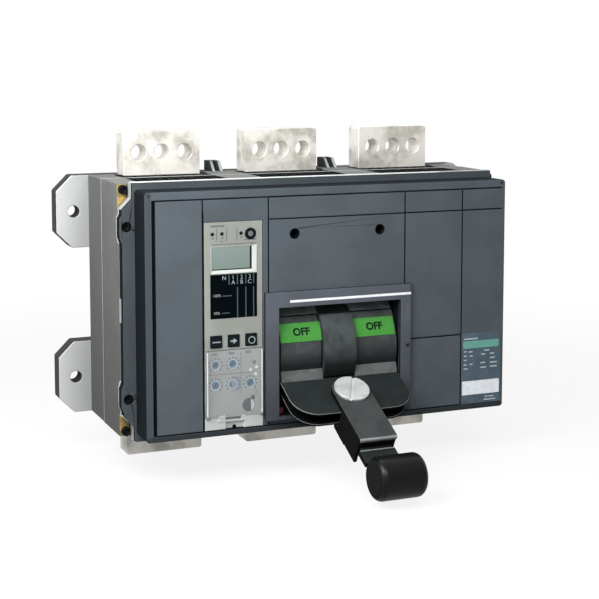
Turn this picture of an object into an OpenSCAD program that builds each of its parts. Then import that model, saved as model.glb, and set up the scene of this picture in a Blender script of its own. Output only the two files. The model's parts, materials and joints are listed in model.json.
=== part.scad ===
// Three-pole molded case circuit breaker, fixed on its back by two steel plates with bolt ears.
// Millimetres. The origin is the middle of the rear mounting plane: the front faces -Y, +Z is up.

/* [Case] */
// Depth from the mounting plane to the front face of the cover
depth = 160; // [159:0.5:163]
// Width of the two grey case mouldings
case_w = 355; // [354:1:357]
// Height of the two grey case mouldings
case_h = 215; // [214:1:217]
// Distance from the mounting plane to the front edge of the grey case
case_d = 121.5; // [121:0.5:122]
// Distance from the mounting plane to the seam between the two grey mouldings
seam_d = 63; // [61:1:65]

/* [Cover] */
// Width of the raised front cover
cover_w = 335; // [334:1:337]
// Height of the raised front cover
cover_h = 206.5; // [206:0.5:208]
// Width of the flange that holds the cover on the case
flange_w = 356.5; // [356:0.5:358]
// Height of the flange
flange_h = 218; // [217:1:220]
// Thickness of the flange
flange_d = 9; // [8.5:0.5:10]

/* [Poles] */
// Distance between the middles of neighbouring poles
pole_pitch = 115; // [114.5:0.5:115.5]
// Width of a terminal bar
bar_w = 71.5; // [68:0.5:73]
// Thickness of a terminal bar
bar_t = 22; // [20:1:22]
// Height over the tips of the upper and lower bars
bar_span = 293; // [290:1:300]
// Diameter of the holes in a bar
bar_hole_d = 14; // [11:0.5:15]
// Distance between neighbouring holes in a bar
bar_hole_pitch = 21.5; // [20:0.5:24]
// Distance from a bar's tip to the line of its holes
bar_hole_inset = 19; // [14:1:22]

/* [Mounting plates] */
// Width over the ears
plate_w = 414; // [410:1:420]
// Height of one plate
plate_h = 65; // [62:1:65]
// Thickness of a plate
plate_t = 18; // [17.5:0.5:18.5]
// Size of the cut at an ear's corners
plate_cut = 14; // [10:1:16]
// Diameter of a fixing hole
plate_hole_d = 10.5; // [9:0.5:13]
// Distance across between the fixing holes
plate_holes_x = 382.6; // [380:0.2:388]
// Distance up between the fixing holes
plate_holes_z = 150; // [144:1:156]

/* [Handle] */
// Middle of the handle, across
handle_x = 5; // [4:0.5:6]
// Height of the handle's axis
handle_z = -40; // [-41:0.5:-39]
// Radius of the drum
drum_r = 48; // [47:0.5:49]
// Angle of the handle below level when it is off
off_angle = 27; // [25:1:29]
// Width of the two handle plates
lever_w = 110; // [100:1:110]
// Reach of the upper handle plate from the axis
lever_reach = 97; // [92:1:99]
// Width of the arm
arm_w = 34; // [30:1:36]
// Reach of the arm from the axis
arm_reach = 138; // [130:1:142]
// Reach of the middle of the grip from the axis
grip_reach = 170; // [168:1:176]
// Diameter of the grip
grip_d = 36; // [30:1:36]
// Length of the grip
grip_l = 42.5; // [36:0.5:56]

/* [Trip unit] */
// Width of the trip unit
trip_w = 52; // [51:0.5:53]
// Lower edge of the trip unit
trip_z0 = -98; // [-99:0.5:-97]
// Upper edge of the trip unit
trip_z1 = 77; // [76:0.5:78]
// Middle of the trip unit, across
trip_x = -91.4; // [-92:0.1:-91]
// Side of a menu key
key_w = 10; // [9:0.5:11]
// Travel of a key and of the reset button
key_travel = 1.2; // [1:0.1:1.5]
// Diameter of a setting dial
dial_d = 5.6; // [5:0.1:6]

/* [Hidden] */

$fn = 64;
tiny = 0.02;

case_grey = "#707270";
cover_grey = "#535a65";
flange_grey = "#474e57";
silver = "#dedcd6";
plate_grey = "#c9cac7";
black = "#1d2021";
yellow = "#d9c98a";
trip_grey = "#a5a59b";
label_green = "#55a541";
label_red = "#8c2a2c";
nameplate_slate = "#46525a";
display_green = "#80908a";
panel_black = "#0a1016";
plug_grey = "#8b8b84";
clip_grey = "#8d8d86";
clear_smoke = [0.8, 0.85, 0.88, 0.4];
key_black = "#22282a";
reset_grey = "#3a3d3e";
dial_blue = "#46a0c8";
drum_grey = "#3c4042";
sill_grey = "#65686a";
lever_black = "#262a2a";
arm_grey = "#464a4a";
tongue_grey = "#303434";
steel = "#d7dada";

// Planes from back to front
seam_y = -seam_d;
case_y = -case_d;
flange_y = case_y - flange_d;
front_y = -depth;

// Terminal bars
bar_y0 = -16 - bar_t;
bar_y1 = -16;
bar_tang_y1 = -20;
bar_tang_h = 20;
bar_hole_z = bar_span / 2 - bar_hole_inset;

// Mounting plates
plate_z1 = case_h / 2;
plate_z0 = plate_z1 - plate_h;
rear_pad_w = 320;

// Arc chutes
chute_w = 84;
chute_y0 = -104;
chute_y1 = bar_y0 - 1;
chute_t = 5;
chute_sink = 0.4;
chute_slots = 9;
chute_slot_w = 5.6;
chute_slot_l = 26;
chute_row_pitch = 31;
chute_frame = 4;
chute_floor = 1.5;

// Barrier guides between the poles
guide_h = 9;
guide_rib_t = 3;
guide_gap = 4.5;
guide_d = 26;

// Corner notches of the case and the flange, with a plate and a cap screw in each
corner_cut_w = 9;
corner_cut_h = 13;
corner_slope_h = 25.8;
corner_floor_y = case_y + 8;
corner_screw_x = case_w / 2 - 4.3;
corner_screw_z = case_h / 2 - 5;
corner_plate_t = 1.5;
corner_head_r = 3.8;
corner_head_h = 5;
corner_shank_r = 3;
ear_bulge = 2;
ear_screw_x = 174;
ear_screw_z = 72.5;
ear_screw_r = 4.2;

// Cover face
rim_w = 6;
groove_w = 1.1;
deep_groove_w = 3;
groove_depth = 1.6;
panel_z1 = 96;
panel_z0 = -98.3;
band_z = 77.3;
label_band_z = -34.4;
groove_x = [-118.3, -60.2, 67.5, 124.2];
access_x = [-36.3, 43.3];
access_z = 64;
access_d = 9;
nameplate_x = [groove_x[3] + 0.6, 164.8];
nameplate_z = [-98.2, -34];
nameplate_t = 0.4;

// Handle
axis_y = -113.5;
drum_w = 109;
drum_x = [handle_x - drum_w / 2, handle_x + drum_w / 2];
drum_half_turn = 95;
drum_wall = 8;
drum_cheek = 4;
trunnion_r = 7;
trunnion_l = 9;
trunnion_gap = 0.05;
pocket_r = drum_r + 8.5;
pocket_w = 114;
window_z1 = 2;
window_z0 = -91;
escutcheon_t = 4;
escutcheon_x = [-64.5, 72];
escutcheon_z = [-94.4, 15.6];
strap_w = 30;
strap_offset = -1;
strap_x = [handle_x + strap_offset - strap_w / 2, handle_x + strap_offset + strap_w / 2];
strap_t = 4.5;
strap_top_angle = 38;
label_t = 0.5;
label_angles = [13.5, 33];
plate_top = 2.4;
lever_t = 3;
lower_top = -9.6;
lever_corner_r = 22;
lower_inset = [2, 1];
lower_corner_r = 21;
core_inset = [10, 9];
core_corner_r = 17;
lever_root_z = 40;
arm_t = 5;
arm_top = plate_top + arm_t;
arm_nose_r = (arm_t - tiny) / 2;
arm_face_back = 1.5;
skirt_t = 3;
skirt_s = -18.5;
skirt_step = 1;
skirt_step_r = 114;
skirt_low_s = -19.2;
skirt_low_r = 91;
skirt_gap = 0.6;
screw_r = 15.2;
screw_reach = 77;
screw_t = 2.5;
screw_slot_w = 2.4;
screw_slot_d = 1.2;
screw_slot_turn = -26;
tongue_top = -3.6;
tongue_t = 5;
grip_s = -6.4;
grip_round = 6;
grip_x = 5;

// Trip unit
trip_front = front_y;
trip_back = flange_y - 1;
display_z = [33.8, 57];
display_x = [-111.3, -71];
load_z = [-3.9, 32.9];
load_x = [-111.7, -70.6];
key_z = -23.3;
key_x = [-106.9, -91.5, -76];
key_gap = 0.3;
key_t = 4;
key_proud = 1;
reset_x = -76.4;
reset_z = 66.2;
reset_r = 3.4;
dial_x = [-107.7, -92.4, -107.7, -92.4, -77];
dial_z = [-42.9, -42.9, -60, -60, -60];
dial_gap = 0.3;
dial_t = 3;
dial_sink = 0.4;
plug_x = -78;
plug_z = -79;
plug_r = 5.8;
plug_sink = 0.3;
flap_x = [-116.2, -66.8];
flap_z = -31.3;
flap_d = 3.5;
flap_t = 1.4;
flap_lug_w = 1.8;
flap_pin_y = trip_front - 1.9;
flap_pin_z = -85.8;
flap_pin_r = 0.8;
flap_pin_gap = 0.05;
clip_top_z = -88.2;
clip_gap_x = [-98.9, -82.9];
clip_proud = 0.5;
trip_fit = 0.3;

// A box between two corners, each axis given as [low, high]
module block(x, y, z) {
    translate([x[0], y[0], z[0]])
        cube([x[1] - x[0], y[1] - y[0], z[1] - z[0]]);
}

// A box that is centred across and up, from y[0] to y[1]
module centred_block(w, h, y) {
    block([-w / 2, w / 2], y, [-h / 2, h / 2]);
}

// A 2D outline drawn in X and Z, made solid from y0 back to y1
module along_y(y0, y1) {
    translate([0, y1, 0])
        rotate([90, 0, 0])
            linear_extrude(y1 - y0)
                children();
}

// A 2D outline drawn in Y and Z, made solid from x0 to x1
module along_x(x0, x1) {
    translate([x0, 0, 0])
        rotate([90, 0, 90])
            linear_extrude(x1 - x0)
                children();
}

module rod_y(x, z, y0, y1, r) {
    translate([x, y1, z])
        rotate([90, 0, 0])
            cylinder(h = y1 - y0, r = r);
}

module rod_x(y, z, x0, x1, r) {
    translate([x0, y, z])
        rotate([0, 90, 0])
            cylinder(h = x1 - x0, r = r);
}

// Mirrors its children into all four quarters
module in_quarters() {
    for (mx = [0, 1], mz = [0, 1])
        mirror([mx, 0, 0])
            mirror([0, 0, mz])
                children();
}

// Mirrors a 2D outline into all four quarters
module outline_in_quarters() {
    for (mx = [0, 1], mz = [0, 1])
        mirror([mx, 0])
            mirror([0, mz])
                children();
}

// Where the drum turns, with room for the strap that stands proud of it
module handle_pocket() {
    rod_x(axis_y, handle_z, handle_x - pocket_w / 2, handle_x + pocket_w / 2, pocket_r);
}

// Bearing for the drum's two trunnions
module trunnion_bore() {
    reach = drum_w / 2 + trunnion_l + 1;
    rod_x(axis_y, handle_z, handle_x - reach, handle_x + reach, trunnion_r + trunnion_gap);
}

// The bar's outline below the case edge, as its socket
module bar_tang(x, side) {
    z0 = case_h / 2 - bar_tang_h;
    mirror([0, 0, side < 0 ? 1 : 0])
        block([x - bar_w / 2, x + bar_w / 2], [bar_y0, bar_tang_y1], [z0, case_h / 2]);
}

module bar_sockets() {
    for (p = [-1, 0, 1], side = [-1, 1])
        bar_tang(p * pole_pitch, side);
}

module chute_wells() {
    z1 = case_h / 2;
    for (p = [-1, 0, 1])
        block([p * pole_pitch - chute_w / 2, p * pole_pitch + chute_w / 2],
            [chute_y0, chute_y1], [z1 - chute_sink - chute_t, z1 + 1]);
}

module rear_case() {
    color(case_grey)
        difference() {
            union() {
                centred_block(case_w, case_h, [seam_y, -plate_t]);
                centred_block(rear_pad_w, 2 * plate_z0, [-plate_t - 1, 0]);
            }
            bar_sockets();
            chute_wells();
            handle_pocket();
        }
}

module middle_case() {
    lip = 2;
    color(case_grey)
        difference() {
            union() {
                centred_block(case_w, case_h, [case_y, seam_y]);
                along_y(case_y, case_y + 14)
                    ear_bulges(case_w / 2);
            }
            chute_wells();
            handle_pocket();
            trunnion_bore();
            // A fine step all round at the seam
            difference() {
                centred_block(case_w + 2, case_h + 2, [seam_y - lip, seam_y + 1]);
                centred_block(case_w - 1.2, case_h - 1.2, [seam_y - lip - 1, seam_y + 2]);
            }
            along_y(case_y - 1, corner_floor_y)
                corner_notches();
            in_quarters()
                rod_y(corner_screw_x, corner_screw_z, corner_floor_y - 1, corner_floor_y + 9, corner_shank_r);
        }
}

// Swellings of a side edge beside the ear screws
module ear_bulges(edge) {
    outline_in_quarters()
        polygon([
            [edge - 3, ear_screw_z - 14], [edge, ear_screw_z - 14],
            [edge + ear_bulge, ear_screw_z - 9], [edge + ear_bulge, ear_screw_z + 7],
            [edge, ear_screw_z + 11], [edge - 3, ear_screw_z + 11]
        ]);
}

// What is cut away at the four corners
module corner_notches() {
    inner = flange_w / 2 - corner_cut_w;
    outer = flange_w / 2 + ear_bulge + 1;
    h = flange_h / 2;
    outline_in_quarters()
        polygon([[inner, h + 1], [inner, h - corner_cut_h], [outer, h - corner_slope_h], [outer, h + 1]]);
}

module flange_outline() {
    difference() {
        union() {
            square([flange_w, flange_h], center = true);
            ear_bulges(flange_w / 2);
        }
        corner_notches();
    }
}

module cover_flange() {
    color(flange_grey)
        difference() {
            along_y(flange_y, case_y)
                flange_outline();
            handle_pocket();
            in_quarters()
                rod_y(ear_screw_x, ear_screw_z, flange_y - 1, flange_y + 7, ear_screw_r);
        }
}

module cover_grooves() {
    d = groove_depth;
    y = [front_y - 1, front_y + d];
    g = groove_w / 2;
    left = -cover_w / 2 + rim_w;
    right = cover_w / 2 - rim_w / 2;
    // Deep line inside the rim
    block([left, left + deep_groove_w], y, [panel_z0 - g, panel_z1 + g]);
    block([left, right], y, [panel_z1 - g, panel_z1 + g]);
    block([left, right], y, [panel_z0 - g, panel_z0 + g]);
    // Joints between the front panels
    for (x = groove_x)
        block([x - g, x + g], y, [panel_z0, panel_z1]);
    block([groove_x[1], right], y, [band_z - g, band_z + g]);
    block([groove_x[2], groove_x[3]], y, [label_band_z - g, label_band_z + g]);
}

module front_cover() {
    color(cover_grey)
        difference() {
            along_y(front_y, flange_y)
                rounded_rect([-cover_w / 2, cover_w / 2], [-cover_h / 2, cover_h / 2], 3);
            cover_grooves();
            handle_pocket();
            block([handle_x - pocket_w / 2, handle_x + pocket_w / 2],
                [front_y - 1, flange_y + 1], [window_z0, window_z1]);
            block([trip_x - trip_w / 2, trip_x + trip_w / 2],
                [trip_front - 1, trip_back], [trip_z0, trip_z1]);
            for (x = access_x)
                rod_y(x, access_z, front_y - 1, front_y + 14, access_d / 2);
        }
}

// A rectangle with round corners, as squares and circles so that the corners stay true arcs
module rounded_rect(x, z, r) {
    translate([x[0], z[0] + r])
        square([x[1] - x[0], z[1] - z[0] - 2 * r]);
    translate([x[0] + r, z[0]])
        square([x[1] - x[0] - 2 * r, z[1] - z[0]]);
    for (cx = [x[0] + r, x[1] - r], cz = [z[0] + r, z[1] - r])
        translate([cx, cz])
            circle(r = r);
}

module plate_outline() {
    w = plate_w / 2;
    c = plate_cut;
    polygon([
        [-w, plate_z0 + c], [-w + c, plate_z0], [w - c, plate_z0], [w, plate_z0 + c],
        [w, plate_z1 - c], [w - c, plate_z1], [-w + c, plate_z1], [-w, plate_z1 - c]
    ]);
}

module mounting_plate() {
    color(plate_grey)
        difference() {
            along_y(-plate_t, 0)
                plate_outline();
            for (sx = [-1, 1])
                rod_y(sx * plate_holes_x / 2, plate_holes_z / 2, -plate_t - 1, 1, plate_hole_d / 2);
        }
}

module upper_mounting_plate() {
    mounting_plate();
}

module lower_mounting_plate() {
    mirror([0, 0, 1])
        mounting_plate();
}

// side is 1 for a bar at the top of its pole and -1 for one at the bottom
module terminal(pole, side) {
    x = pole * pole_pitch;
    tip = bar_span / 2;
    c = 1.5;
    color(silver)
        union() {
            bar_tang(x, side);
            mirror([0, 0, side < 0 ? 1 : 0])
                difference() {
                    along_y(bar_y0, bar_y1)
                        polygon([
                            [x - bar_w / 2, case_h / 2], [x - bar_w / 2, tip - c],
                            [x - bar_w / 2 + c, tip], [x + bar_w / 2 - c, tip],
                            [x + bar_w / 2, tip - c], [x + bar_w / 2, case_h / 2]
                        ]);
                    for (i = [-1, 0, 1])
                        rod_y(x + i * bar_hole_pitch, bar_hole_z, bar_y0 - 1, bar_y1 + 1, bar_hole_d / 2);
                }
        }
}

module upper_terminal_left() { terminal(-1, 1); }
module upper_terminal_centre() { terminal(0, 1); }
module upper_terminal_right() { terminal(1, 1); }
module lower_terminal_left() { terminal(-1, -1); }
module lower_terminal_centre() { terminal(0, -1); }
module lower_terminal_right() { terminal(1, -1); }

// Slotted outlet of an arc chute, sunk into the top of its pole
module arc_chute(pole) {
    x0 = pole * pole_pitch - chute_w / 2;
    y0 = chute_y0 + chute_frame;
    z1 = case_h / 2 - chute_sink;
    pitch = chute_w / chute_slots;
    color(black)
        difference() {
            block([x0, x0 + chute_w], [chute_y0, chute_y1], [z1 - chute_t, z1]);
            for (i = [0 : chute_slots - 1], row = [0, 1])
                translate([x0 + (i + 0.5) * pitch, y0 + row * chute_row_pitch, 0])
                    block([-chute_slot_w / 2, chute_slot_w / 2], [0, chute_slot_l],
                        [z1 - chute_t + chute_floor, z1 + 1]);
        }
}

module arc_chute_left() { arc_chute(-1); }
module arc_chute_centre() { arc_chute(0); }
module arc_chute_right() { arc_chute(1); }

// A pair of ribs with a slot between them, sloped at the front, that takes a barrier between poles
module barrier_guide(x) {
    z0 = case_h / 2;
    top_d = guide_d - 9;
    reach = guide_gap / 2 + guide_rib_t;
    for (side = [-1, 1])
        along_x(x + (side < 0 ? -reach : guide_gap / 2), x + (side < 0 ? -guide_gap / 2 : reach))
            polygon([[-1, z0], [-guide_d, z0], [-top_d, z0 + guide_h], [-1, z0 + guide_h]]);
    block([x - guide_gap / 2, x + guide_gap / 2], [-4, -1], [z0, z0 + guide_h]);
}

module barrier_guides() {
    color(flange_grey)
        for (x = [-pole_pitch / 2, pole_pitch / 2], side = [0, 1])
            mirror([0, 0, side])
                barrier_guide(x);
}

module corner_plates() {
    color(yellow)
        difference() {
            along_y(corner_floor_y - corner_plate_t, corner_floor_y)
                intersection() {
                    corner_notches();
                    difference() {
                        square([case_w, case_h - 1], center = true);
                        square([flange_w - 2 * corner_cut_w + 1, case_h], center = true);
                    }
                }
            in_quarters()
                rod_y(corner_screw_x, corner_screw_z, corner_floor_y - 3, corner_floor_y + 1, corner_shank_r);
        }
}

// Hexagon socket of a screw, from its head's face y inwards
module hex_socket(y, r, h) {
    translate([0, y + h, 0])
        rotate([90, 0, 0])
            cylinder(h = h + 1, r = r, $fn = 6);
}

// Cap screws in the corners of the case
module corner_screws() {
    y = corner_floor_y - corner_plate_t;
    color(black)
        in_quarters()
            translate([corner_screw_x, 0, corner_screw_z])
                difference() {
                    union() {
                        rod_y(0, 0, y - corner_head_h, y, corner_head_r);
                        rod_y(0, 0, y - 1, corner_floor_y + 9, corner_shank_r - tiny);
                    }
                    hex_socket(y - corner_head_h, 2.5, 2.5);
                }
}

module flange_screws() {
    y = flange_y + 2.5;
    color(black)
        in_quarters()
            translate([ear_screw_x, 0, ear_screw_z])
                difference() {
                    rod_y(0, 0, y, flange_y + 7, ear_screw_r - 0.1);
                    hex_socket(y, 2.2, 2);
                }
}

module handle_escutcheon() {
    color(cover_grey)
        difference() {
            along_y(front_y - escutcheon_t, front_y)
                rounded_rect(escutcheon_x, escutcheon_z, 1);
            block([handle_x - pocket_w / 2, handle_x + pocket_w / 2],
                [front_y - escutcheon_t - 1, front_y + 1], [window_z0, window_z1]);
        }
}

module nameplate() {
    color(nameplate_slate)
        block(nameplate_x, [front_y - nameplate_t, front_y], nameplate_z);
}

module trip_unit_housing() {
    x0 = trip_x - trip_w / 2 + trip_fit;
    x1 = trip_x + trip_w / 2 - trip_fit;
    key_back = trip_front - key_proud + key_t + key_travel + 0.5;
    color(trip_grey)
        union() {
            flap_lugs();
            difference() {
                block([x0, x1], [trip_front, trip_back], [trip_z0 + trip_fit, trip_z1 - trip_fit]);
                block(display_x, [trip_front - 1, trip_front + 2], display_z);
                block(load_x, [trip_front - 1, trip_front + 1], load_z);
                for (x = key_x)
                    block([x - key_w / 2 - key_gap, x + key_w / 2 + key_gap], [trip_front - 1, key_back],
                        [key_z - key_w / 2 - key_gap, key_z + key_w / 2 + key_gap]);
                rod_y(reset_x, reset_z, trip_front - 1, key_back, reset_r + key_gap);
                for (i = [0 : len(dial_x) - 1])
                    rod_y(dial_x[i], dial_z[i], trip_front - 1, trip_front + dial_sink + dial_t + 0.1,
                        dial_d / 2 + dial_gap);
                rod_y(plug_x, plug_z, trip_front - 1, trip_front + 5, plug_r);
                // Room for the clips along the foot
                block([x0 - 1, x1 + 1], [trip_front - 1, trip_front + 4], [trip_z0 - 1, clip_top_z]);
            }
        }
}

module display_window() {
    color(display_green)
        block(display_x, [trip_front + 0.6, trip_front + 2], display_z);
}

module load_panel() {
    color(panel_black)
        block(load_x, [trip_front - 0.1, trip_front + 1], load_z);
}

module rating_plug() {
    color(plug_grey)
        difference() {
            rod_y(plug_x, plug_z, trip_front + plug_sink, trip_front + 5, plug_r);
            block([plug_x - 1, plug_x + 1], [trip_front - 1, trip_front + plug_sink + 1],
                [plug_z - plug_r, plug_z + plug_r]);
        }
}

// Two catches with a gap between them, along the foot of the trip unit
module trip_unit_clips() {
    x0 = trip_x - trip_w / 2 + trip_fit;
    x1 = trip_x + trip_w / 2 - trip_fit;
    z = [trip_z0 + trip_fit, clip_top_z];
    color(clip_grey)
        union() {
            block([x0, x1], [trip_front + 2, trip_front + 4], z);
            for (x = [[x0, clip_gap_x[0]], [clip_gap_x[1], x1]])
                block(x, [trip_front - clip_proud, trip_front + 3], z);
        }
}

// Clear flap over the dials: a shallow tray that turns down about two pins along its foot
module dial_cover() {
    y0 = trip_front - flap_d;
    y1 = trip_front - 0.3;
    foot = [flap_x[0] + flap_lug_w + 0.3, flap_x[1] - flap_lug_w - 0.3];
    color(clear_smoke)
        union() {
            difference() {
                block(flap_x, [y0, y1], [flap_pin_z + 2.4, flap_z]);
                block([flap_x[0] + flap_t, flap_x[1] - flap_t], [y0 + flap_t, y1 + 1],
                    [flap_pin_z, flap_z - flap_t]);
            }
            block(foot, [y0, y0 + flap_t], [flap_pin_z, flap_pin_z + 3]);
            rod_x(flap_pin_y, flap_pin_z, foot[0], foot[1], trip_front - 0.3 - flap_pin_y);
            rod_x(flap_pin_y, flap_pin_z, flap_x[0] + 0.3, flap_x[1] - 0.3, flap_pin_r);
        }
}

// Lugs on the trip unit that hold the flap's pins
module flap_lugs() {
    r = trip_front - flap_pin_y;
    for (x = [flap_x[0], flap_x[1] - flap_lug_w])
        difference() {
            union() {
                rod_x(flap_pin_y, flap_pin_z, x, x + flap_lug_w, r);
                block([x, x + flap_lug_w], [flap_pin_y, trip_front + 0.5], [flap_pin_z - r, flap_pin_z + r]);
            }
            rod_x(flap_pin_y, flap_pin_z, x - 1, x + flap_lug_w + 1, flap_pin_r + flap_pin_gap);
        }
}

module key(i) {
    color(key_black)
        block([key_x[i] - key_w / 2, key_x[i] + key_w / 2],
            [trip_front - key_proud, trip_front - key_proud + key_t],
            [key_z - key_w / 2, key_z + key_w / 2]);
}

module menu_key() { key(0); }
module select_key() { key(1); }
module clear_key() { key(2); }

module reset_button() {
    color(reset_grey)
        rod_y(reset_x, reset_z, trip_front - key_proud, trip_front - key_proud + key_t, reset_r);
}

module dial(i) {
    y0 = trip_front + dial_sink;
    color(dial_blue)
        difference() {
            rod_y(dial_x[i], dial_z[i], y0, y0 + dial_t, dial_d / 2);
            block([dial_x[i] - 0.4, dial_x[i] + 0.4], [y0 - 1, y0 + 0.8],
                [dial_z[i] - dial_d, dial_z[i] + dial_d]);
        }
}

module dial_1() { dial(0); }
module dial_2() { dial(1); }
module dial_3() { dial(2); }
module dial_4() { dial(3); }
module dial_5() { dial(4); }

// Part of a ring about the handle's axis, between two angles above level
module drum_arc(x, r0, r1, a0, a1) {
    steps = 24;
    translate([0, axis_y, handle_z])
        along_x(x[0], x[1])
            difference() {
                intersection() {
                    circle(r = r1, $fn = 180);
                    polygon(concat([[0, 0]], [
                        for (i = [0 : steps])
                            let (a = a0 + (a1 - a0) * i / steps)
                                [-2 * r1 * cos(a), 2 * r1 * sin(a)]
                    ]));
                }
                circle(r = r0, $fn = 180);
            }
}

// Curved shield with two cheeks, which turn on trunnions
module handle_drum() {
    color(drum_grey)
        union() {
            drum_arc(drum_x, drum_r - drum_wall, drum_r, -drum_half_turn, drum_half_turn);
            for (x = [drum_x[0], drum_x[1] - drum_cheek]) {
                drum_arc([x, x + drum_cheek], 0.5, drum_r - drum_wall + 0.5, -drum_half_turn, drum_half_turn);
                rod_x(axis_y, handle_z, x, x + drum_cheek, 14);
            }
            for (x = [drum_x[0] - trunnion_l, drum_x[1] - drum_cheek])
                rod_x(axis_y, handle_z, x, x + trunnion_l + drum_cheek, trunnion_r);
        }
}

// The same two label fields on the drum, above the lever and below it
module drum_labels(a0, a1) {
    drum_arc([drum_x[0], strap_x[0] - 0.6], drum_r, drum_r + label_t, a0, a1);
    drum_arc([strap_x[1] + 0.9, drum_x[1] - 1.5], drum_r, drum_r + label_t, a0, a1);
}

module off_labels() {
    color(label_green)
        drum_labels(label_angles[0], label_angles[1]);
}

module on_labels() {
    color(label_red)
        drum_labels(-2 * off_angle - label_angles[1], -2 * off_angle - label_angles[0]);
}

module handle_strap() {
    color(drum_grey)
        drum_arc(strap_x, drum_r, drum_r + strap_t, -off_angle + 3.5, strap_top_angle);
}

// Paler strips where the upper plate leaves the drum
module drum_sills() {
    color(sill_grey)
        for (x = [[drum_x[0], strap_x[0]], [strap_x[1], drum_x[1]]])
            drum_arc(x, drum_r, drum_r + 1.5, -off_angle + 4.5, -14);
}

// Lever frame: X across from the handle's middle, Y out along the lever, Z up from its middle plane
module in_lever() {
    translate([handle_x, axis_y, handle_z])
        rotate([off_angle, 0, 0])
            rotate([0, 0, 180])
                children();
}

// The handle plates' outline: straight sides and two round front corners
module lever_outline(inset, r) {
    w = lever_w / 2 - inset.x;
    reach = lever_reach - inset.y;
    translate([-w, lever_root_z])
        square([2 * w, reach - r - lever_root_z]);
    translate([-w + r, reach - r - 1])
        square([2 * (w - r), r + 1]);
    for (x = [-w + r, w - r])
        translate([x, reach - r])
            circle(r = r);
}

module lever_layer(z0, z1, inset, r) {
    difference() {
        in_lever()
            translate([0, 0, z0])
                linear_extrude(z1 - z0)
                    lever_outline(inset, r);
        rod_x(axis_y, handle_z, drum_x[0] - 5, drum_x[1] + 5, drum_r + tiny);
    }
}

module upper_handle_plate() {
    color(lever_black)
        difference() {
            lever_layer(plate_top - lever_t, plate_top, [0, 0], lever_corner_r);
            // Seat of the strap's foot
            drum_arc(strap_x, drum_r - 1, drum_r + strap_t + tiny, -off_angle - 5, 0);
        }
}

module lower_handle_plate() {
    color(lever_black)
        lever_layer(lower_top - lever_t, lower_top, lower_inset, lower_corner_r);
}

module handle_core() {
    color(black)
        lever_layer(lower_top, plate_top - lever_t, core_inset, core_corner_r);
}

module arm_outline() {
    w = arm_w / 2;
    translate([0, screw_reach])
        circle(r = w);
    translate([-w, screw_reach])
        square([2 * w, arm_reach - arm_nose_r - screw_reach]);
}

// Side of the arm, outwards and up, deeper where it passes under the plates
module skirt_outline() {
    start = lever_reach + 0.5;
    under = lower_top - lever_t - skirt_gap;
    face = arm_reach - arm_face_back;
    polygon([
        [start, arm_top - 1], [start, under], [skirt_low_r, under], [skirt_low_r, skirt_low_s],
        [skirt_step_r, skirt_s - skirt_step], [skirt_step_r, skirt_s], [face, skirt_s],
        [face, plate_top + 1], [face - arm_nose_r, arm_top - 1]
    ]);
}

// Flat bar on the upper plate with a round front edge, turned down at both sides past the plates
module handle_arm() {
    w = arm_w / 2;
    z0 = plate_top + tiny;
    color(arm_grey)
        in_lever()
            union() {
                translate([0, 0, z0])
                    linear_extrude(arm_top - z0)
                        arm_outline();
                translate([-w, arm_reach - arm_nose_r, z0 + arm_nose_r])
                    rotate([0, 90, 0])
                        cylinder(h = 2 * w, r = arm_nose_r);
                for (x = [-w, w - skirt_t])
                    translate([x, 0, 0])
                        rotate([90, 0, 90])
                            linear_extrude(skirt_t)
                                skirt_outline();
                // Turned-down front end
                translate([-w, arm_reach - arm_face_back - skirt_t, tongue_top + 0.5])
                    cube([2 * w, skirt_t, plate_top + 0.5 - tongue_top]);
            }
}

// Flat tongue inside the arm that carries the grip
module arm_tongue() {
    w = arm_w / 2 - skirt_t - tiny;
    color(tongue_grey)
        in_lever()
            union() {
                translate([-w, lever_reach + 2, tongue_top - tongue_t])
                    cube([2 * w, grip_reach - grip_d / 2 + 1.5 - lever_reach - 2, tongue_t]);
                translate([-arm_w / 2 + 1, arm_reach + 0.5, tongue_top - tongue_t])
                    cube([arm_w - 2, grip_reach - grip_d / 2 + 1.5 - arm_reach - 0.5, tongue_t]);
            }
}

module handle_screw() {
    color(steel)
        in_lever()
            translate([0, screw_reach, arm_top])
                difference() {
                    cylinder(h = screw_t, r = screw_r);
                    rotate([0, 0, screw_slot_turn])
                        translate([-screw_slot_w / 2, -screw_r - 1, screw_t - screw_slot_d])
                            cube([screw_slot_w, 2 * screw_r + 2, 2]);
                }
}

// Round-ended roller across the end of the arm
module handle_grip() {
    r = grip_d / 2;
    k = grip_round;
    color(black)
        difference() {
            in_lever()
                translate([-grip_x, grip_reach, grip_s])
                    rotate([0, 90, 0])
                        translate([0, 0, -grip_l / 2])
                            rotate_extrude($fn = 96)
                                union() {
                                    square([r - k, grip_l]);
                                    translate([0, k])
                                        square([r, grip_l - 2 * k]);
                                    for (z = [k, grip_l - k])
                                        translate([r - k, z])
                                            circle(r = k);
                                }
            in_lever()
                translate([-arm_w / 2 + 1 - tiny, 0, tongue_top - tongue_t - tiny])
                    cube([arm_w - 2 + 2 * tiny, grip_reach - grip_d / 2 + 1.5 + tiny, tongue_t + 2 * tiny]);
        }
}

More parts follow.
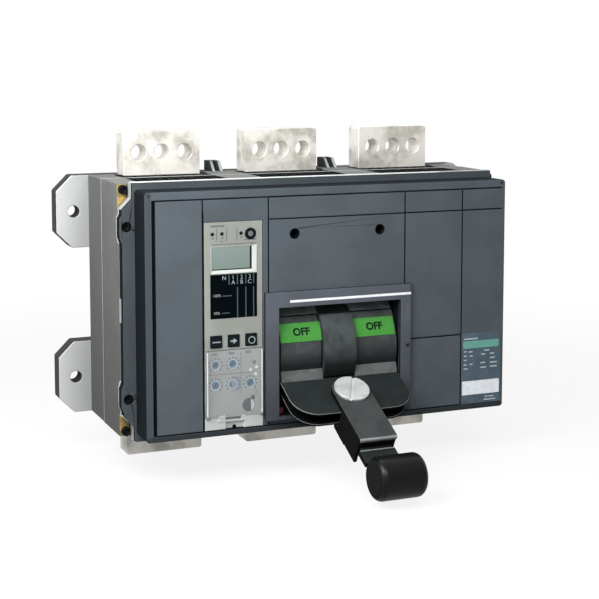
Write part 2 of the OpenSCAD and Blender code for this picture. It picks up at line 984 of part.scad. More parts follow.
rear_case();
middle_case();
cover_flange();
front_cover();
upper_mounting_plate();
lower_mounting_plate();
upper_terminal_left();
upper_terminal_centre();
upper_terminal_right();
lower_terminal_left();
lower_terminal_centre();
lower_terminal_right();
arc_chute_left();
arc_chute_centre();
arc_chute_right();
barrier_guides();
corner_plates();
corner_screws();
flange_screws();
handle_escutcheon();
nameplate();
trip_unit_housing();
display_window();
load_panel();
rating_plug();
trip_unit_clips();
dial_cover();
menu_key();
select_key();
clear_key();
reset_button();
dial_1();
dial_2();
dial_3();
dial_4();
dial_5();
handle_drum();
off_labels();
on_labels();
handle_strap();
drum_sills();
upper_handle_plate();
lower_handle_plate();
handle_core();
handle_arm();
arm_tongue();
handle_screw();
handle_grip();
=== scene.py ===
"""Looks of a three-pole molded case circuit breaker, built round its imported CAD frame.

Sizes are in millimetres in the breaker's own frame: the origin is the middle of the rear mounting
plane, the front faces -Y and +Z is up. A drawn mesh turns to metres when it becomes a piece.
"""

import functools
import itertools
import json
import logging
import math
from collections.abc import Callable, Iterable, Sequence
from dataclasses import dataclass
from enum import Enum

import bmesh
import bpy
from mathutils import Matrix, Vector


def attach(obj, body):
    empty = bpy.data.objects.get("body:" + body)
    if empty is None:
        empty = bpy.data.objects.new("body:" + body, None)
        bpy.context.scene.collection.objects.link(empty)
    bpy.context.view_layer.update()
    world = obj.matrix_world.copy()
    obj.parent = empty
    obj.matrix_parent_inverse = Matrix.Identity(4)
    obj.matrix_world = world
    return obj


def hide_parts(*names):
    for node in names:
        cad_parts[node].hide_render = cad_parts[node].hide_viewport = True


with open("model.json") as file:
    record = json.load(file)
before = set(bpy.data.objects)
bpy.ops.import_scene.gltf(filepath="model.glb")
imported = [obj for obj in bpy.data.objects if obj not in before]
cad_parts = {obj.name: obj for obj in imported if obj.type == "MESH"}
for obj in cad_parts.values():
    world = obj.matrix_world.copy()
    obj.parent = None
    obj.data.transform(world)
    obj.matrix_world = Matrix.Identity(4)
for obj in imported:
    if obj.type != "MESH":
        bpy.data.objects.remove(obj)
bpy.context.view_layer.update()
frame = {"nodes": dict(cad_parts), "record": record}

MM = 0.001

log = logging.getLogger("breaker")

Range = tuple[float, float]
Point = tuple[float, float]
Outline = Sequence[Point]
Place = tuple[float, float, float]
Box = tuple[float, float, float, float]
Marks = tuple[tuple[tuple[float, ...], float, Range], ...]
Colour = tuple[float, float, float, float]
Socket = bpy.types.NodeSocket


class Slot(Enum):
    """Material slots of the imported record."""

    CASE = "case_grey"
    FLANGE = "flange_grey"
    COVER = "cover_grey"
    CHUTE = "chute_black"
    PLATE = "plate_steel"
    BAR = "plated_copper"
    CORNER = "yellow_plate"
    CAP_SCREW = "black_screw"
    ESCUTCHEON = "escutcheon_grey"
    NAMEPLATE = "nameplate_print"
    TRIP_UNIT = "trip_grey"
    DISPLAY = "display_grey"
    LOAD_PANEL = "panel_black"
    CLEAR = "clear_cover"
    KEY = "key_black"
    RESET = "reset_grey"
    DIAL = "dial_blue"
    DRUM = "drum_grey"
    STRAP = "strap_grey"
    OFF = "label_green"
    ON = "label_red"
    LEVER = "lever_black"
    ARM = "arm_grey"
    SCREW = "screw_steel"
    GRIP = "grip_black"


class Body(Enum):
    """Bodies that drawn pieces ride on."""

    BREAKER = "breaker"
    HANDLE = "handle"
    MENU_KEY = "menu_key"
    SELECT_KEY = "select_key"
    CLEAR_KEY = "clear_key"
    RESET = "reset_button"
    FLAP = "dial_cover"
    DIAL_1 = "dial_1"
    DIAL_2 = "dial_2"
    DIAL_3 = "dial_3"
    DIAL_4 = "dial_4"
    DIAL_5 = "dial_5"


DIALS = (Body.DIAL_1, Body.DIAL_2, Body.DIAL_3, Body.DIAL_4, Body.DIAL_5)


# ---------------------------------------------------------------------------------------------
# Finishes
# ---------------------------------------------------------------------------------------------


def linear(code: str) -> Colour:
    """Turns an sRGB hex colour into linear light.

    Args:
        code: the colour, as "#rrggbb".

    Returns:
        Red, green, blue and an alpha of 1.
    """
    parts = [int(code[i : i + 2], 16) / 255 for i in (1, 3, 5)]
    red, green, blue = (p / 12.92 if p <= 0.04045 else ((p + 0.055) / 1.055) ** 2.4 for p in parts)
    return red, green, blue, 1.0


def add_node(tree: bpy.types.NodeTree, kind: str, inputs: dict | None = None,
             **settings) -> bpy.types.Node:
    """Adds one shader node with its settings, values and links.

    Args:
        tree: the material's node tree.
        kind: Blender's name of the node type.
        inputs: values, or output sockets to link, by input name or index.
        settings: the node's own properties.

    Returns:
        The new node.
    """
    node = tree.nodes.new(kind)
    for name, value in settings.items():
        setattr(node, name, value)
    for key, value in (inputs or {}).items():
        if isinstance(value, bpy.types.NodeSocket):
            tree.links.new(value, node.inputs[key])
        else:
            node.inputs[key].default_value = value
    return node


def fresh(owner: bpy.types.Material | bpy.types.World) -> bpy.types.NodeTree:
    """Empties the node tree of a material or a world and gives it."""
    owner.use_nodes = True
    owner.node_tree.nodes.clear()
    return owner.node_tree


def shade(code: str, times: float) -> str:
    """Darkens or lightens an sRGB hex colour by a factor."""
    return "#" + "".join(f"{min(255, round(int(code[i:i + 2], 16) * times)):02x}" for i in (1, 3, 5))


@dataclass(frozen=True)
class Paint:
    """One node tree, with the shader that its patterns feed, and the ways to draw a pattern into it."""

    tree: bpy.types.NodeTree
    shader: bpy.types.Node | None = None

    def node(self, kind: str, inputs: dict | None = None, **settings) -> bpy.types.Node:
        """Adds one node to the tree."""
        return add_node(self.tree, kind, inputs, **settings)

    def link(self, value: Socket, name: str) -> None:
        """Feeds a value to one of the shader's inputs."""
        self.tree.links.new(value, self.shader.inputs[name])

    def place(self) -> Socket:
        """Gives the point on the piece, in metres."""
        return self.node("ShaderNodeTexCoord").outputs["Object"]

    def noise(self, size: float, stretch: Place = (1, 1, 1), detail: float = 2.0) -> Socket:
        """Draws noise whose blotches measure a real size.

        Args:
            size: the blotches' size in mm.
            stretch: how many times longer they are along X, Y and Z.
            detail: how much finer noise lies on top.

        Returns:
            The noise's value, about 0.5 in the mean.
        """
        scaled = self.node("ShaderNodeMapping", {
            "Vector": self.place(), "Scale": tuple(1 / (size * MM * s) for s in stretch),
        })
        return self.node("ShaderNodeTexNoise", {
            "Vector": scaled.outputs["Vector"], "Scale": 1.0, "Detail": detail, "Roughness": 0.55,
        }).outputs["Fac"]

    def compute(self, operation: str, first: Socket, second: Socket | float = 0.0) -> Socket:
        """Works out a sum with one or two values."""
        return self.node("ShaderNodeMath", {0: first, 1: second}, operation=operation).outputs["Value"]

    def rise(self, value: Socket, limits: Range, ends: Range = (0.0, 1.0), smooth: bool = False) -> Socket:
        """Goes from one end to another as a value passes between two limits."""
        return self.node("ShaderNodeMapRange", {
            "Value": value, "From Min": limits[0], "From Max": limits[1],
            "To Min": ends[0], "To Max": ends[1],
        }, interpolation_type="SMOOTHSTEP" if smooth else "LINEAR").outputs["Result"]

    def mix(self, share: Socket, first: str | Socket, second: str | Socket) -> Socket:
        """Mixes two colours, each a hex code or a socket, by a share of the second."""
        a, b = (linear(end) if isinstance(end, str) else end for end in (first, second))
        mixed = self.node("ShaderNodeMix", {"Factor": share, "A": a, "B": b}, data_type="RGBA")
        return mixed.outputs["Result"]

    def blend(self, amount: Socket, first: str | Socket, second: str,
              limits: Range = (0.35, 0.65)) -> Socket:
        """Goes from one colour to another as a value rises between two limits."""
        return self.mix(self.rise(amount, limits, smooth=True), first, second)

    def looks(self, direction: Place, limits: Range = (0.35, 0.75)) -> Socket:
        """Tells how far a face looks along a direction of the breaker's frame, from 0 to 1."""
        normal = self.node("ShaderNodeTexCoord").outputs["Normal"]
        along = self.node("ShaderNodeVectorMath", {0: normal, 1: direction}, operation="DOT_PRODUCT")
        return self.rise(along.outputs["Value"], limits)

    def along(self, axis: str, limits: Range) -> Socket:
        """Tells how far a point lies between two limits, in mm, along an axis of the frame."""
        place = self.node("ShaderNodeSeparateXYZ", {"Vector": self.place()}).outputs[axis]
        return self.rise(place, (limits[0] * MM, limits[1] * MM))

    def colour(self, value: Socket) -> None:
        """Gives the surface its colour."""
        self.link(value, "Base Color")

    def relief(self, height: Socket, depth: float) -> None:
        """Turns a height between 0 and 1 into a relief of a depth in mm."""
        bump = self.node("ShaderNodeBump", {"Height": height, "Distance": depth * MM, "Strength": 1.0})
        self.link(bump.outputs["Normal"], "Normal")

    def gloss(self, share: Socket, ends: Range, limits: Range = (0.0, 1.0)) -> None:
        """Takes the roughness from one end to the other as a share rises between two limits."""
        self.link(self.rise(share, limits, ends), "Roughness")


@dataclass(frozen=True)
class Finish:
    """A surface made one way; each kind of surface draws its own pattern.

    Args:
        name: what the surface is, in plain words.
        code: its main sRGB colour.
        roughness: micro-roughness of the surface.
        metallic: 1 for bare or plated metal.
        ior: index of refraction; metals keep the default.
        specular: level of the surface's reflection, 0.5 for full.
    """

    name: str
    code: str
    roughness: float = 0.5
    metallic: float = 0.0
    ior: float = 1.5
    specular: float = 0.5

    @functools.cache
    def material(self) -> bpy.types.Material:
        """Makes the material, once."""
        material = bpy.data.materials.new(self.name)
        tree = fresh(material)
        shader = add_node(tree, "ShaderNodeBsdfPrincipled", {
            "Base Color": linear(self.code), "Roughness": self.roughness, "Metallic": self.metallic,
            "IOR": self.ior, "Specular IOR Level": self.specular,
        })
        add_node(tree, "ShaderNodeOutputMaterial", {"Surface": shader.outputs["BSDF"]})
        self.draw(Paint(tree, shader))
        return material

    def draw(self, paint: Paint) -> None:
        """Draws the pattern; a plain finish has none."""


@dataclass(frozen=True)
class MouldedThermoset(Finish):
    """Glass-filled polyester, pressed hot in a steel mould: dull, with faint clouds and fine specks."""

    cloud: str = "#808080"
    # Painted light: a paler colour for the faces that look up.
    top: str = "#8a8c8a"
    # Painted shade: how dark the piece gets at its foot, and the heights in mm over which it darkens.
    foot: float = 0.88
    painted_shade_z: Range = (-100.0, 60.0)
    cloud_size: float = 45.0
    fibre_size: float = 1.2
    fibre_depth: float = 0.05

    def draw(self, paint: Paint) -> None:
        """Lays resin-flow clouds, painted light on upper faces, painted shade at the foot and glass fibre
        relief.
        """
        clouds = paint.blend(paint.noise(self.cloud_size), self.code, self.cloud)
        # painted shade towards the foot
        clouds = paint.mix(paint.along("Z", self.painted_shade_z), shade(self.code, self.foot), clouds)
        # painted light on the faces that look up
        clouds = paint.mix(paint.looks((0, 0, 1)), clouds, self.top)
        paint.colour(clouds)
        paint.relief(paint.noise(self.fibre_size, (1, 1, 2.5)), self.fibre_depth)


@dataclass(frozen=True)
class TexturedPlastic(Finish):
    """Injection-moulded plastic with a spark-eroded texture in front and walls of another tone and roughness.
    """

    ior: float = 1.58
    # The walls' colour is painted shade on the flange and the guides, and painted highlight on the display
    # frame.
    walls: str = "#202428"
    wall_roughness: float = 0.9
    grain_size: float = 0.9
    grain_depth: float = 0.02
    cloud_size: float = 30.0

    def draw(self, paint: Paint) -> None:
        """Gives what doesn't face the front the walls' colour and adds the mould's fine grain."""
        front = paint.looks((0, -1, 0))
        paint.colour(paint.mix(front, self.walls, self.face(paint)))
        paint.gloss(front, (self.wall_roughness, self.roughness))
        paint.relief(paint.noise(self.grain_size), self.grain_depth)

    def face(self, paint: Paint) -> Socket:
        """Draws the textured front, a little uneven in tone."""
        return paint.blend(paint.noise(self.cloud_size), self.code, shade(self.code, 0.94))


@dataclass(frozen=True)
class PanelledPlastic(TexturedPlastic):
    """The cover's textured plastic, with painted shade on the narrow rim outside the panels."""

    # Painted shade: where the rim darkens, in mm, and how dark it gets at the left and at the foot.
    shade_x_of_rim: Range = (-162.4, -161.6)
    shade_z_of_rim: Range = (-99.4, -98.6)
    rim_shade_at_left: float = 0.82
    rim_shade_at_foot: float = 0.58

    def face(self, paint: Paint) -> Socket:
        """Paints shade on the rim at the left and at the foot."""
        panels = super().face(paint)
        shaded_tone = paint.mix(paint.along("X", self.shade_x_of_rim), shade(self.code, self.rim_shade_at_left), panels)
        return paint.mix(paint.along("Z", self.shade_z_of_rim), shade(self.code, self.rim_shade_at_foot), shaded_tone)


@dataclass(frozen=True)
class FootShadedPlastic(TexturedPlastic):
    """Textured plastic with painted shade that darkens it towards its foot."""

    # Painted shade: the heights in mm over which the front darkens, and how dark its foot gets.
    fade: Range = (-85.0, -15.0)
    foot: float = 0.74

    def face(self, paint: Paint) -> Socket:
        """Paints shade on the front towards its foot."""
        return paint.mix(paint.along("Z", self.fade), shade(self.code, self.foot), super().face(paint))


@dataclass(frozen=True)
class MouldedPolyamide(Finish):
    """Black or grey polyamide from a plain steel mould: smooth, with a sheen that wavers a little."""

    ior: float = 1.53
    # Painted shade: the factor that darkens the faces looking down.
    under: float = 1.0
    waver: float = 0.06

    def draw(self, paint: Paint) -> None:
        """Lets the tone and the sheen waver over the surface and paints shade on what looks down."""
        waver = paint.noise(14.0)
        tone = paint.blend(waver, self.code, shade(self.code, 0.82))
        # painted shade on the faces that look down
        downwards = paint.looks((0, 0, -1), (-0.08, 0.2))
        tone = paint.mix(downwards, tone, shade(self.code, self.under))
        paint.colour(tone)
        paint.gloss(waver, (self.roughness - self.waver, self.roughness + self.waver))
        paint.relief(paint.noise(1.0), 0.01)


@dataclass(frozen=True)
class PolishedGrip(Finish):
    """Black phenolic resin, turned and polished round its roller face, with ends left dull."""

    dull: float = 0.95
    end_limits: Range = (0.9, 0.7)

    def draw(self, paint: Paint) -> None:
        """Dulls both ends and lets the polish waver."""
        normal = paint.node("ShaderNodeTexCoord").outputs["Normal"]
        across = paint.node("ShaderNodeSeparateXYZ", {"Vector": normal}).outputs["X"]
        sideways = paint.compute("ABSOLUTE", across)
        paint.gloss(sideways, (self.dull, self.roughness), self.end_limits)
        paint.colour(paint.blend(paint.noise(12.0), self.code, shade(self.code, 0.8)))


@dataclass(frozen=True)
class PlatedCopper(Finish):
    """Copper bar, plated with silver: creamy, mottled where the bath was uneven, finely drawn along it."""

    tarnish: str = "#b9b6ac"
    blotch_size: float = 22.0
    draw_mark: float = 0.7

    def draw(self, paint: Paint) -> None:
        """Mottles the plating and adds the marks of drawing."""
        uneven = paint.noise(self.blotch_size, detail=4.0)
        blotches = paint.blend(uneven, self.code, self.tarnish, (0.42, 0.72))
        marks = paint.noise(self.draw_mark, (1, 1, 30))
        paint.colour(blotches)
        paint.relief(marks, 0.015)


@dataclass(frozen=True)
class ZincPlatedSteel(Finish):
    """Thick steel plate, cut, then zinc plated: pale faces with slow clouds, and cut edges that stay dark."""

    edges: str = "#2c2c2a"
    # Painted shade: the darker tone towards the case, over the right half and on faces that look back.
    inner: str = "#a4a7a7"
    dull: float = 0.9
    case_shade_x: Range = (-182.0, -208.0)
    right_shade_x: Range = (0.0, 10.0)

    def draw(self, paint: Paint) -> None:
        """Paints shade towards the case and on the right half, clouds faces faintly and darkens cut edges."""
        # painted shade towards the case and over the right half
        drift = paint.mix(paint.along("X", self.case_shade_x), self.inner, self.code)
        faces = paint.mix(paint.along("X", self.right_shade_x), drift, shade(self.inner, 1.1))
        clouds = paint.blend(paint.noise(26.0, detail=3.0), faces, shade(self.inner, 1.12), (0.5, 1.1))
        front = paint.looks((0, -1, 0))
        colour = paint.mix(paint.looks((0, 1, 0)), paint.mix(front, self.edges, clouds), self.inner)
        paint.colour(colour)
        paint.gloss(front, (self.dull, self.roughness))
        paint.relief(paint.noise(1.4), 0.02)


@dataclass(frozen=True)
class PassivatedZinc(Finish):
    """Thin steel with yellow passivated zinc: it drifts between straw and a warmer gold."""

    drift: str = "#b99a55"

    def draw(self, paint: Paint) -> None:
        """Lets the yellow drift in blotches of a few millimetres."""
        paint.colour(paint.blend(paint.noise(7.0), self.code, self.drift))


@dataclass(frozen=True)
class TurnedSteel(Finish):
    """Nickel-plated steel, turned on a lathe and brushed: bright, with fine scratches and soft smears."""

    smear: str = "#aeb2b3"

    def draw(self, paint: Paint) -> None:
        """Adds smears and scratches across the head."""
        smears = paint.blend(paint.noise(9.0, (2.5, 1, 1)), self.code, self.smear, (0.45, 0.8))
        scratches = paint.noise(0.8, (12, 1, 1))
        paint.colour(smears)
        paint.relief(scratches, 0.006)


@dataclass(frozen=True)
class EnamelledSteel(Finish):
    """Pressed steel in a dark baked enamel: smooth, a trace of orange peel, painted shade on its flanks."""

    # Painted shade: the colour of the faces that don't look up.
    shaded_tone: str = "#0b0c0c"
    upwards: Place = (0.0, -0.454, 0.891)
    dull: float = 0.95

    def draw(self, paint: Paint) -> None:
        """Paints shade on the faces that don't look up and adds the enamel's orange peel."""
        tone = paint.blend(paint.noise(18.0), self.code, shade(self.code, 0.88))
        upper = paint.looks(self.upwards, (0.15, 0.6))
        paint.colour(paint.mix(upper, self.shaded_tone, tone))
        paint.gloss(upper, (self.dull, self.roughness))
        paint.relief(paint.noise(2.2), 0.02)


@dataclass(frozen=True)
class ClearPolycarbonate(Finish):
    """Clear polycarbonate, moulded thin: it veils what is behind it a little and shines at its edges."""

    opacity: float = 0.3
    scuffed: float = 0.15

    def draw(self, paint: Paint) -> None:
        """Makes the sheet clear and lets faint scuffs dull it."""
        paint.shader.inputs["Alpha"].default_value = self.opacity
        paint.gloss(paint.noise(3.0, (1, 1, 4)), (self.roughness, self.roughness + self.scuffed))


@dataclass(frozen=True)
class LiquidCrystal(Finish):
    """A liquid crystal cell behind glass: grey-green, darker towards its foot, with faint rows of dots."""

    low: str = "#74847e"
    dots: str = "#5c6b66"
    dot_share: float = 0.05
    foot: float = 36.6
    head: float = 55.7
    row: float = 1.3

    def draw(self, paint: Paint) -> None:
        """Fades the cell downwards and draws its rows of dots."""
        height = paint.node("ShaderNodeSeparateXYZ", {"Vector": paint.place()}).outputs["Z"]
        fade = paint.blend(height, self.low, self.code, (self.foot * MM, self.head * MM))
        rows = paint.node("ShaderNodeTexWave", {
            "Vector": paint.place(), "Scale": 1 / (self.row * MM) / math.tau * 2,
        }, bands_direction="Z").outputs["Fac"]
        lined = paint.mix(paint.compute("MULTIPLY", rows, self.dot_share), fade, self.dots)
        paint.colour(lined)


@dataclass(frozen=True)
class PrintedFilm(Finish):
    """Polyester film, printed on its back: an even colour under a smooth skin with slight waves."""

    def draw(self, paint: Paint) -> None:
        """Lets the film's colour and surface vary a little."""
        paint.colour(paint.blend(paint.noise(12.0), self.code, shade(self.code, 0.9)))
        paint.relief(paint.noise(8.0), 0.03)


@dataclass(frozen=True)
class ScreenInk(Finish):
    """Thick screen-printed ink: dull, with a faint unevenness where its coat thins."""

    def draw(self, paint: Paint) -> None:
        """Thins the ink here and there."""
        paint.colour(paint.blend(paint.noise(3.0), self.code, shade(self.code, 0.95)))


# The case mouldings' paler upper faces are painted light, and their darker feet are painted shade.
REAR_MOULDING = MouldedThermoset("pressed_polyester_rear", "#676765", 0.75, specular=0.1,
                                 cloud="#696a67", top="#727472")
FRONT_MOULDING = MouldedThermoset("pressed_polyester_front", "#676867", 0.75, specular=0.1,
                                  cloud="#6f716f", top="#777977")
# The rim moulding is the case moulding painted lighter: painted highlight on rounded edges that catch the
# light.
LIT_RIM_MOULDING = MouldedThermoset("pressed_polyester_lit_rim", "#a4a7a5", 0.5, specular=0.3, cloud="#989b99",
                                top="#a4a7a5")
# Near-white moulding for glints on the rim's bulges and the flange's edges: painted highlight.
GLINT_MOULDING = MouldedThermoset("pressed_polyester_highlight_edge", "#dfe2e1", 0.45, specular=0.4,
                                   cloud="#c9cccb", top="#dfe2e1")
# The flange's dark walls are painted shade: the shadow in the gap beside the case rim.
FLANGE_PLASTIC = TexturedPlastic("polycarbonate_flange", "#454c50", 0.6, specular=0.06, walls="#0e1215")
COVER_PLASTIC = PanelledPlastic("polycarbonate_cover", "#52595f", 0.6, specular=0.06, walls="#13171b")
# The escutcheon's darker lower half is painted shade.
ESCUTCHEON_PLASTIC = FootShadedPlastic("polycarbonate_escutcheon", "#575c64", 0.55, specular=0.1,
                                  walls="#1d2024")
TRIP_PLASTIC = TexturedPlastic("polycarbonate_trip_unit", "#939690", 0.5, specular=0.1, walls="#7a7d78")
CLIP_PLASTIC = TexturedPlastic("polycarbonate_clip", "#b9bcba", 0.35, specular=0.3, walls="#cfd2d0",
                               wall_roughness=0.4)
CHUTE_PLASTIC = MouldedPolyamide("glass_filled_polyamide_vent", "#0c0f10", 0.75, specular=0.04)
# The guides' dark walls are painted shade on the faces turned from the light.
GUIDE_PLASTIC = TexturedPlastic("polyamide_guide", "#a8adab", 0.5, ior=1.53, specular=0.2,
                                walls="#3d4140")
# The darker lower faces of the drum and the strap are painted shade.
DRUM_PLASTIC = MouldedPolyamide("polyamide_drum", "#454a4b", 0.6, specular=0.06, under=0.5)
# The hood is the drum's plastic painted far lighter: painted light where the window's top shades it.
LIT_HOOD_PLASTIC = MouldedPolyamide("polyamide_lit_hood", "#9ea6aa", 0.6, specular=0.06)
STRAP_PLASTIC = MouldedPolyamide("polyamide_strap", "#474c4d", 0.6, specular=0.06, under=0.4)
SILL_PLASTIC = MouldedPolyamide("polyamide_sill", "#5f6262", 0.5, specular=0.1)
GRIP_PLASTIC = PolishedGrip("polished_phenolic_grip", "#030404", 0.34, ior=1.6, specular=0.16)
KEY_RUBBER = MouldedPolyamide("silicone_key", "#141c20", 0.6, ior=1.43, specular=0.05)
# Near-black fills for gaps, grooves, slots and holes that hold only shade: painted shade.
GAP_SHADE = MouldedPolyamide("painted_gap_shade", "#0d1113", 0.8, specular=0.02)
# Painted shade in the cover's fine grooves; the escutcheon's printed mark shares it.
LINE_SHADE = MouldedPolyamide("fine_gap_shade_and_mark_ink", "#2b3035", 0.8, specular=0.02)
DOT_PLASTIC = MouldedPolyamide("polyamide_dot", "#33383c", 0.6, specular=0.1)
DIAL_PLASTIC = MouldedPolyamide("acetal_dial", "#175d7f", 0.35, ior=1.48, specular=0.3)
PLUG_PLASTIC = MouldedPolyamide("polyamide_plug", "#2c3033", 0.5, specular=0.1)
BAR_PLATING = PlatedCopper("silver_plated_copper", "#f4f1e9", 0.45, metallic=0.6)
PLATE_STEEL = ZincPlatedSteel("zinc_plated_steel", "#c4c6c3", 0.5, metallic=0.2)
CORNER_STEEL = PassivatedZinc("yellow_passivated_zinc", "#7c7048", 0.4, metallic=0.3)
# The lower plate's enamel is the lever's enamel painted darker: painted shade between the plates.
SHADED_LOWER_PLATE_ENAMEL = EnamelledSteel("baked_enamel_shaded_lower_plate", "#0b0d0d", 0.6, specular=0.05,
                              shaded_tone="#050606")
BLACK_OXIDE = EnamelledSteel("black_oxide_steel", "#0f1011", 0.45, specular=0.1, shaded_tone="#0c0d0e",
                             upwards=(0, -1, 0))
HEAD_STEEL = TurnedSteel("nickel_plated_steel", "#dbdede", 0.4, metallic=0.5)
LEVER_ENAMEL = EnamelledSteel("baked_enamel_lever", "#232828", 0.5, specular=0.1, shaded_tone="#060707")
ARM_ENAMEL = EnamelledSteel("baked_enamel_arm", "#3c4040", 0.55, specular=0.1, shaded_tone="#050606")
# Pale enamel for the arm's front bend and the line along its tongue: painted highlight.
BEND_HIGHLIGHT_ENAMEL = EnamelledSteel("painted_bend_highlight", "#929797", 0.45, specular=0.3, shaded_tone="#767a7a")
# Light enamel for thin lines along the plates' edges: painted highlight where rounded edges catch the light.
EDGE_HIGHLIGHT_ENAMEL = EnamelledSteel("painted_highlight_enamel_edge", "#a3a8a8", 0.35, shaded_tone="#a3a8a8")
FOOT_HIGHLIGHT_ENAMEL = EnamelledSteel("painted_highlight_enamel_foot_edge", "#7c8181", 0.4, shaded_tone="#7c8181")
FLAP_CLEAR = ClearPolycarbonate("clear_polycarbonate", "#c3c8d0", 0.12, ior=1.58, opacity=0.12)
# Near-white ink for the clear flap's edges and the glints under it: painted highlight.
FLAP_GLINT_INK = ScreenInk("flap_edge", "#dbe1e4", 0.3, specular=0.4)
# The display frame is painted lighter than the unit, most on its sloping faces: painted highlight.
LIT_FRAME_PLASTIC = TexturedPlastic("polycarbonate_lit_display_frame", "#c4c7c3", 0.4, specular=0.3,
                                walls="#e6e8e4", wall_roughness=0.4)
DISPLAY_CELL = LiquidCrystal("liquid_crystal_cell", "#7c8a85", 0.3, specular=0.1)
PANEL_FILM = PrintedFilm("black_printed_film", "#02070a", 0.4, specular=0.03)
SLATE_FILM = PrintedFilm("slate_printed_film", "#556671", 0.4, specular=0.1)
OFF_INK = ScreenInk("green_screen_ink", "#458d3e", 0.5, specular=0.1)
ON_INK = ScreenInk("red_screen_ink", "#b3262b", 0.5, specular=0.1)
WORD_INK = ScreenInk("dark_screen_ink", "#0a1c0d", 0.5, specular=0.1)
FAINT_INK = ScreenInk("faint_screen_ink", "#9aa1a5", 0.45)
WHITE_INK = ScreenInk("white_screen_ink", "#f0f2f4", 0.4)
FIELD_INK = ScreenInk("field_screen_ink", "#edf2f7", 0.45)
STRIPE_INK = ScreenInk("stripe_screen_ink", "#66a195", 0.45)
PRINT_INK = ScreenInk("plate_screen_ink", "#b9c3c8", 0.45)
GREY_INK = ScreenInk("grey_screen_ink", "#5f6263", 0.5)
HALO_INK = ScreenInk("halo_screen_ink", "#95bbd1", 0.5)
SLATE_INK = ScreenInk("slate_screen_ink", "#39464c", 0.5)
SHADE_INK = ScreenInk("shade_screen_ink", "#7b8188", 0.5)
BLACK_INK = ScreenInk("black_screen_ink", "#0e1112", 0.4, specular=0.1)
RED_LACQUER = ScreenInk("dark_red_lacquer", "#7a2c38", 0.5)


# ---------------------------------------------------------------------------------------------
# Drawing pieces
# ---------------------------------------------------------------------------------------------

WELD = 2e-6
FLAT = math.radians(0.4)
CREASE = math.radians(32)
LABEL_OUT = 0.08


def body_of(node: str) -> str:
    """Names the body that a CAD node belongs to."""
    bodies = frame["record"]["behaviour"]["bodies"]
    return next(body for body, members in bodies.items() if node in members)


def ease_edges(piece: bpy.types.Object, edge: float, rounds: int = 2) -> None:
    """Rounds a piece's sharp edges and shades it as one smooth skin.

    Args:
        piece: the piece.
        edge: width of the rounding in mm; 0 leaves the edges sharp.
        rounds: steps in each rounding.
    """
    for polygon in piece.data.polygons:
        polygon.use_smooth = True
    if not edge:
        piece.data.set_sharp_from_angle(angle=CREASE)
        return
    bevel = piece.modifiers.new("eased edges", "BEVEL")
    bevel.width = edge * MM
    bevel.segments = rounds
    bevel.limit_method = "ANGLE"
    bevel.angle_limit = CREASE
    bevel.use_clamp_overlap = False
    bevel.harden_normals = False
    weighted = piece.modifiers.new("flat faces", "WEIGHTED_NORMAL")
    weighted.weight = 80
    weighted.keep_sharp = True


def finished(node: str, finish: Finish, slot: Slot, edge: float = 0.5, rounds: int = 2,
             merge: bool = True) -> bpy.types.Object:
    """Makes the piece that stands for a CAD node, with the eased edges that moulds and presses leave.

    Args:
        node: the CAD node.
        finish: the surface it gets.
        slot: the record's slot for that surface.
        edge: width of the eased edges in mm.
        rounds: steps in each eased edge.
        merge: whether its flat facets are joined first, which a face with openings in it can't take.

    Returns:
        The piece.
    """
    mesh = frame["nodes"][node].data.copy()
    shape = bmesh.new()
    shape.from_mesh(mesh)
    bmesh.ops.remove_doubles(shape, verts=shape.verts, dist=WELD)
    if merge:
        bmesh.ops.dissolve_limit(shape, angle_limit=FLAT, verts=shape.verts, edges=shape.edges)
    bmesh.ops.recalc_face_normals(shape, faces=shape.faces)
    return place_piece(f"finished_{node}", shape, finish, slot, body_of(node), edge, rounds, node)


def place_piece(name: str, shape: bmesh.types.BMesh, finish: Finish, slot: Slot, body: str,
                edge: float = 0.0, rounds: int = 2, stands_for: str | None = None) -> bpy.types.Object:
    """Turns a drawn shape, in metres, into a piece that rides on a body.

    Args:
        name: the piece's name.
        shape: its shape, which is used up.
        finish: the surface it gets.
        slot: the record's slot for that surface.
        body: the body it rides on.
        edge: width of its eased edges in mm.
        rounds: steps in each eased edge.
        stands_for: the CAD node that it replaces, if any.

    Returns:
        The piece.
    """
    mesh = bpy.data.meshes.new(name)
    shape.to_mesh(mesh)
    shape.free()
    piece = bpy.data.objects.new(name, mesh)
    bpy.context.scene.collection.objects.link(piece)
    mesh.materials.clear()
    mesh.materials.append(finish.material())
    ease_edges(piece, edge, rounds)
    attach(piece, body)
    if stands_for:
        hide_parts(stands_for)
    log.info("%s: %d faces, %s", name, len(mesh.polygons), finish.name)
    return piece


def corners(box: Box) -> list[Point]:
    """Gives a rectangle's corners, anticlockwise, from its limits in X and in Z."""
    x0, x1, z0, z1 = box
    return [(x0, z0), (x1, z0), (x1, z1), (x0, z1)]


def around(middle: float, half: float) -> Range:
    """Gives the limits that lie evenly about a middle."""
    return middle - half, middle + half


def marks(table: Marks) -> list[Box]:
    """Gives boxes from rows of their middles in X, half their width and their limits in Z."""
    return [(*around(x, half), *z) for middles, half, z in table for x in middles]


def thin(face: float, out: float = 0.06, sunk: float = 0.1) -> Range:
    """Gives the front and back of a mark that stands a little out of a face."""
    return face - out, face + sunk


def turns(first: float, last: float, steps: int) -> list[Point]:
    """Gives the cosine and sine of angles in degrees, at even steps from the first to the last."""
    angles = (math.radians(first + (last - first) * i / steps) for i in range(steps + 1))
    return [(math.cos(a), math.sin(a)) for a in angles]


def circle(x: float, z: float, radius: float, steps: int) -> list[Point]:
    """Gives a circle's points, anticlockwise in X and Z."""
    return [(x + radius * c, z + radius * s) for c, s in turns(0, 360, steps)[:-1]]


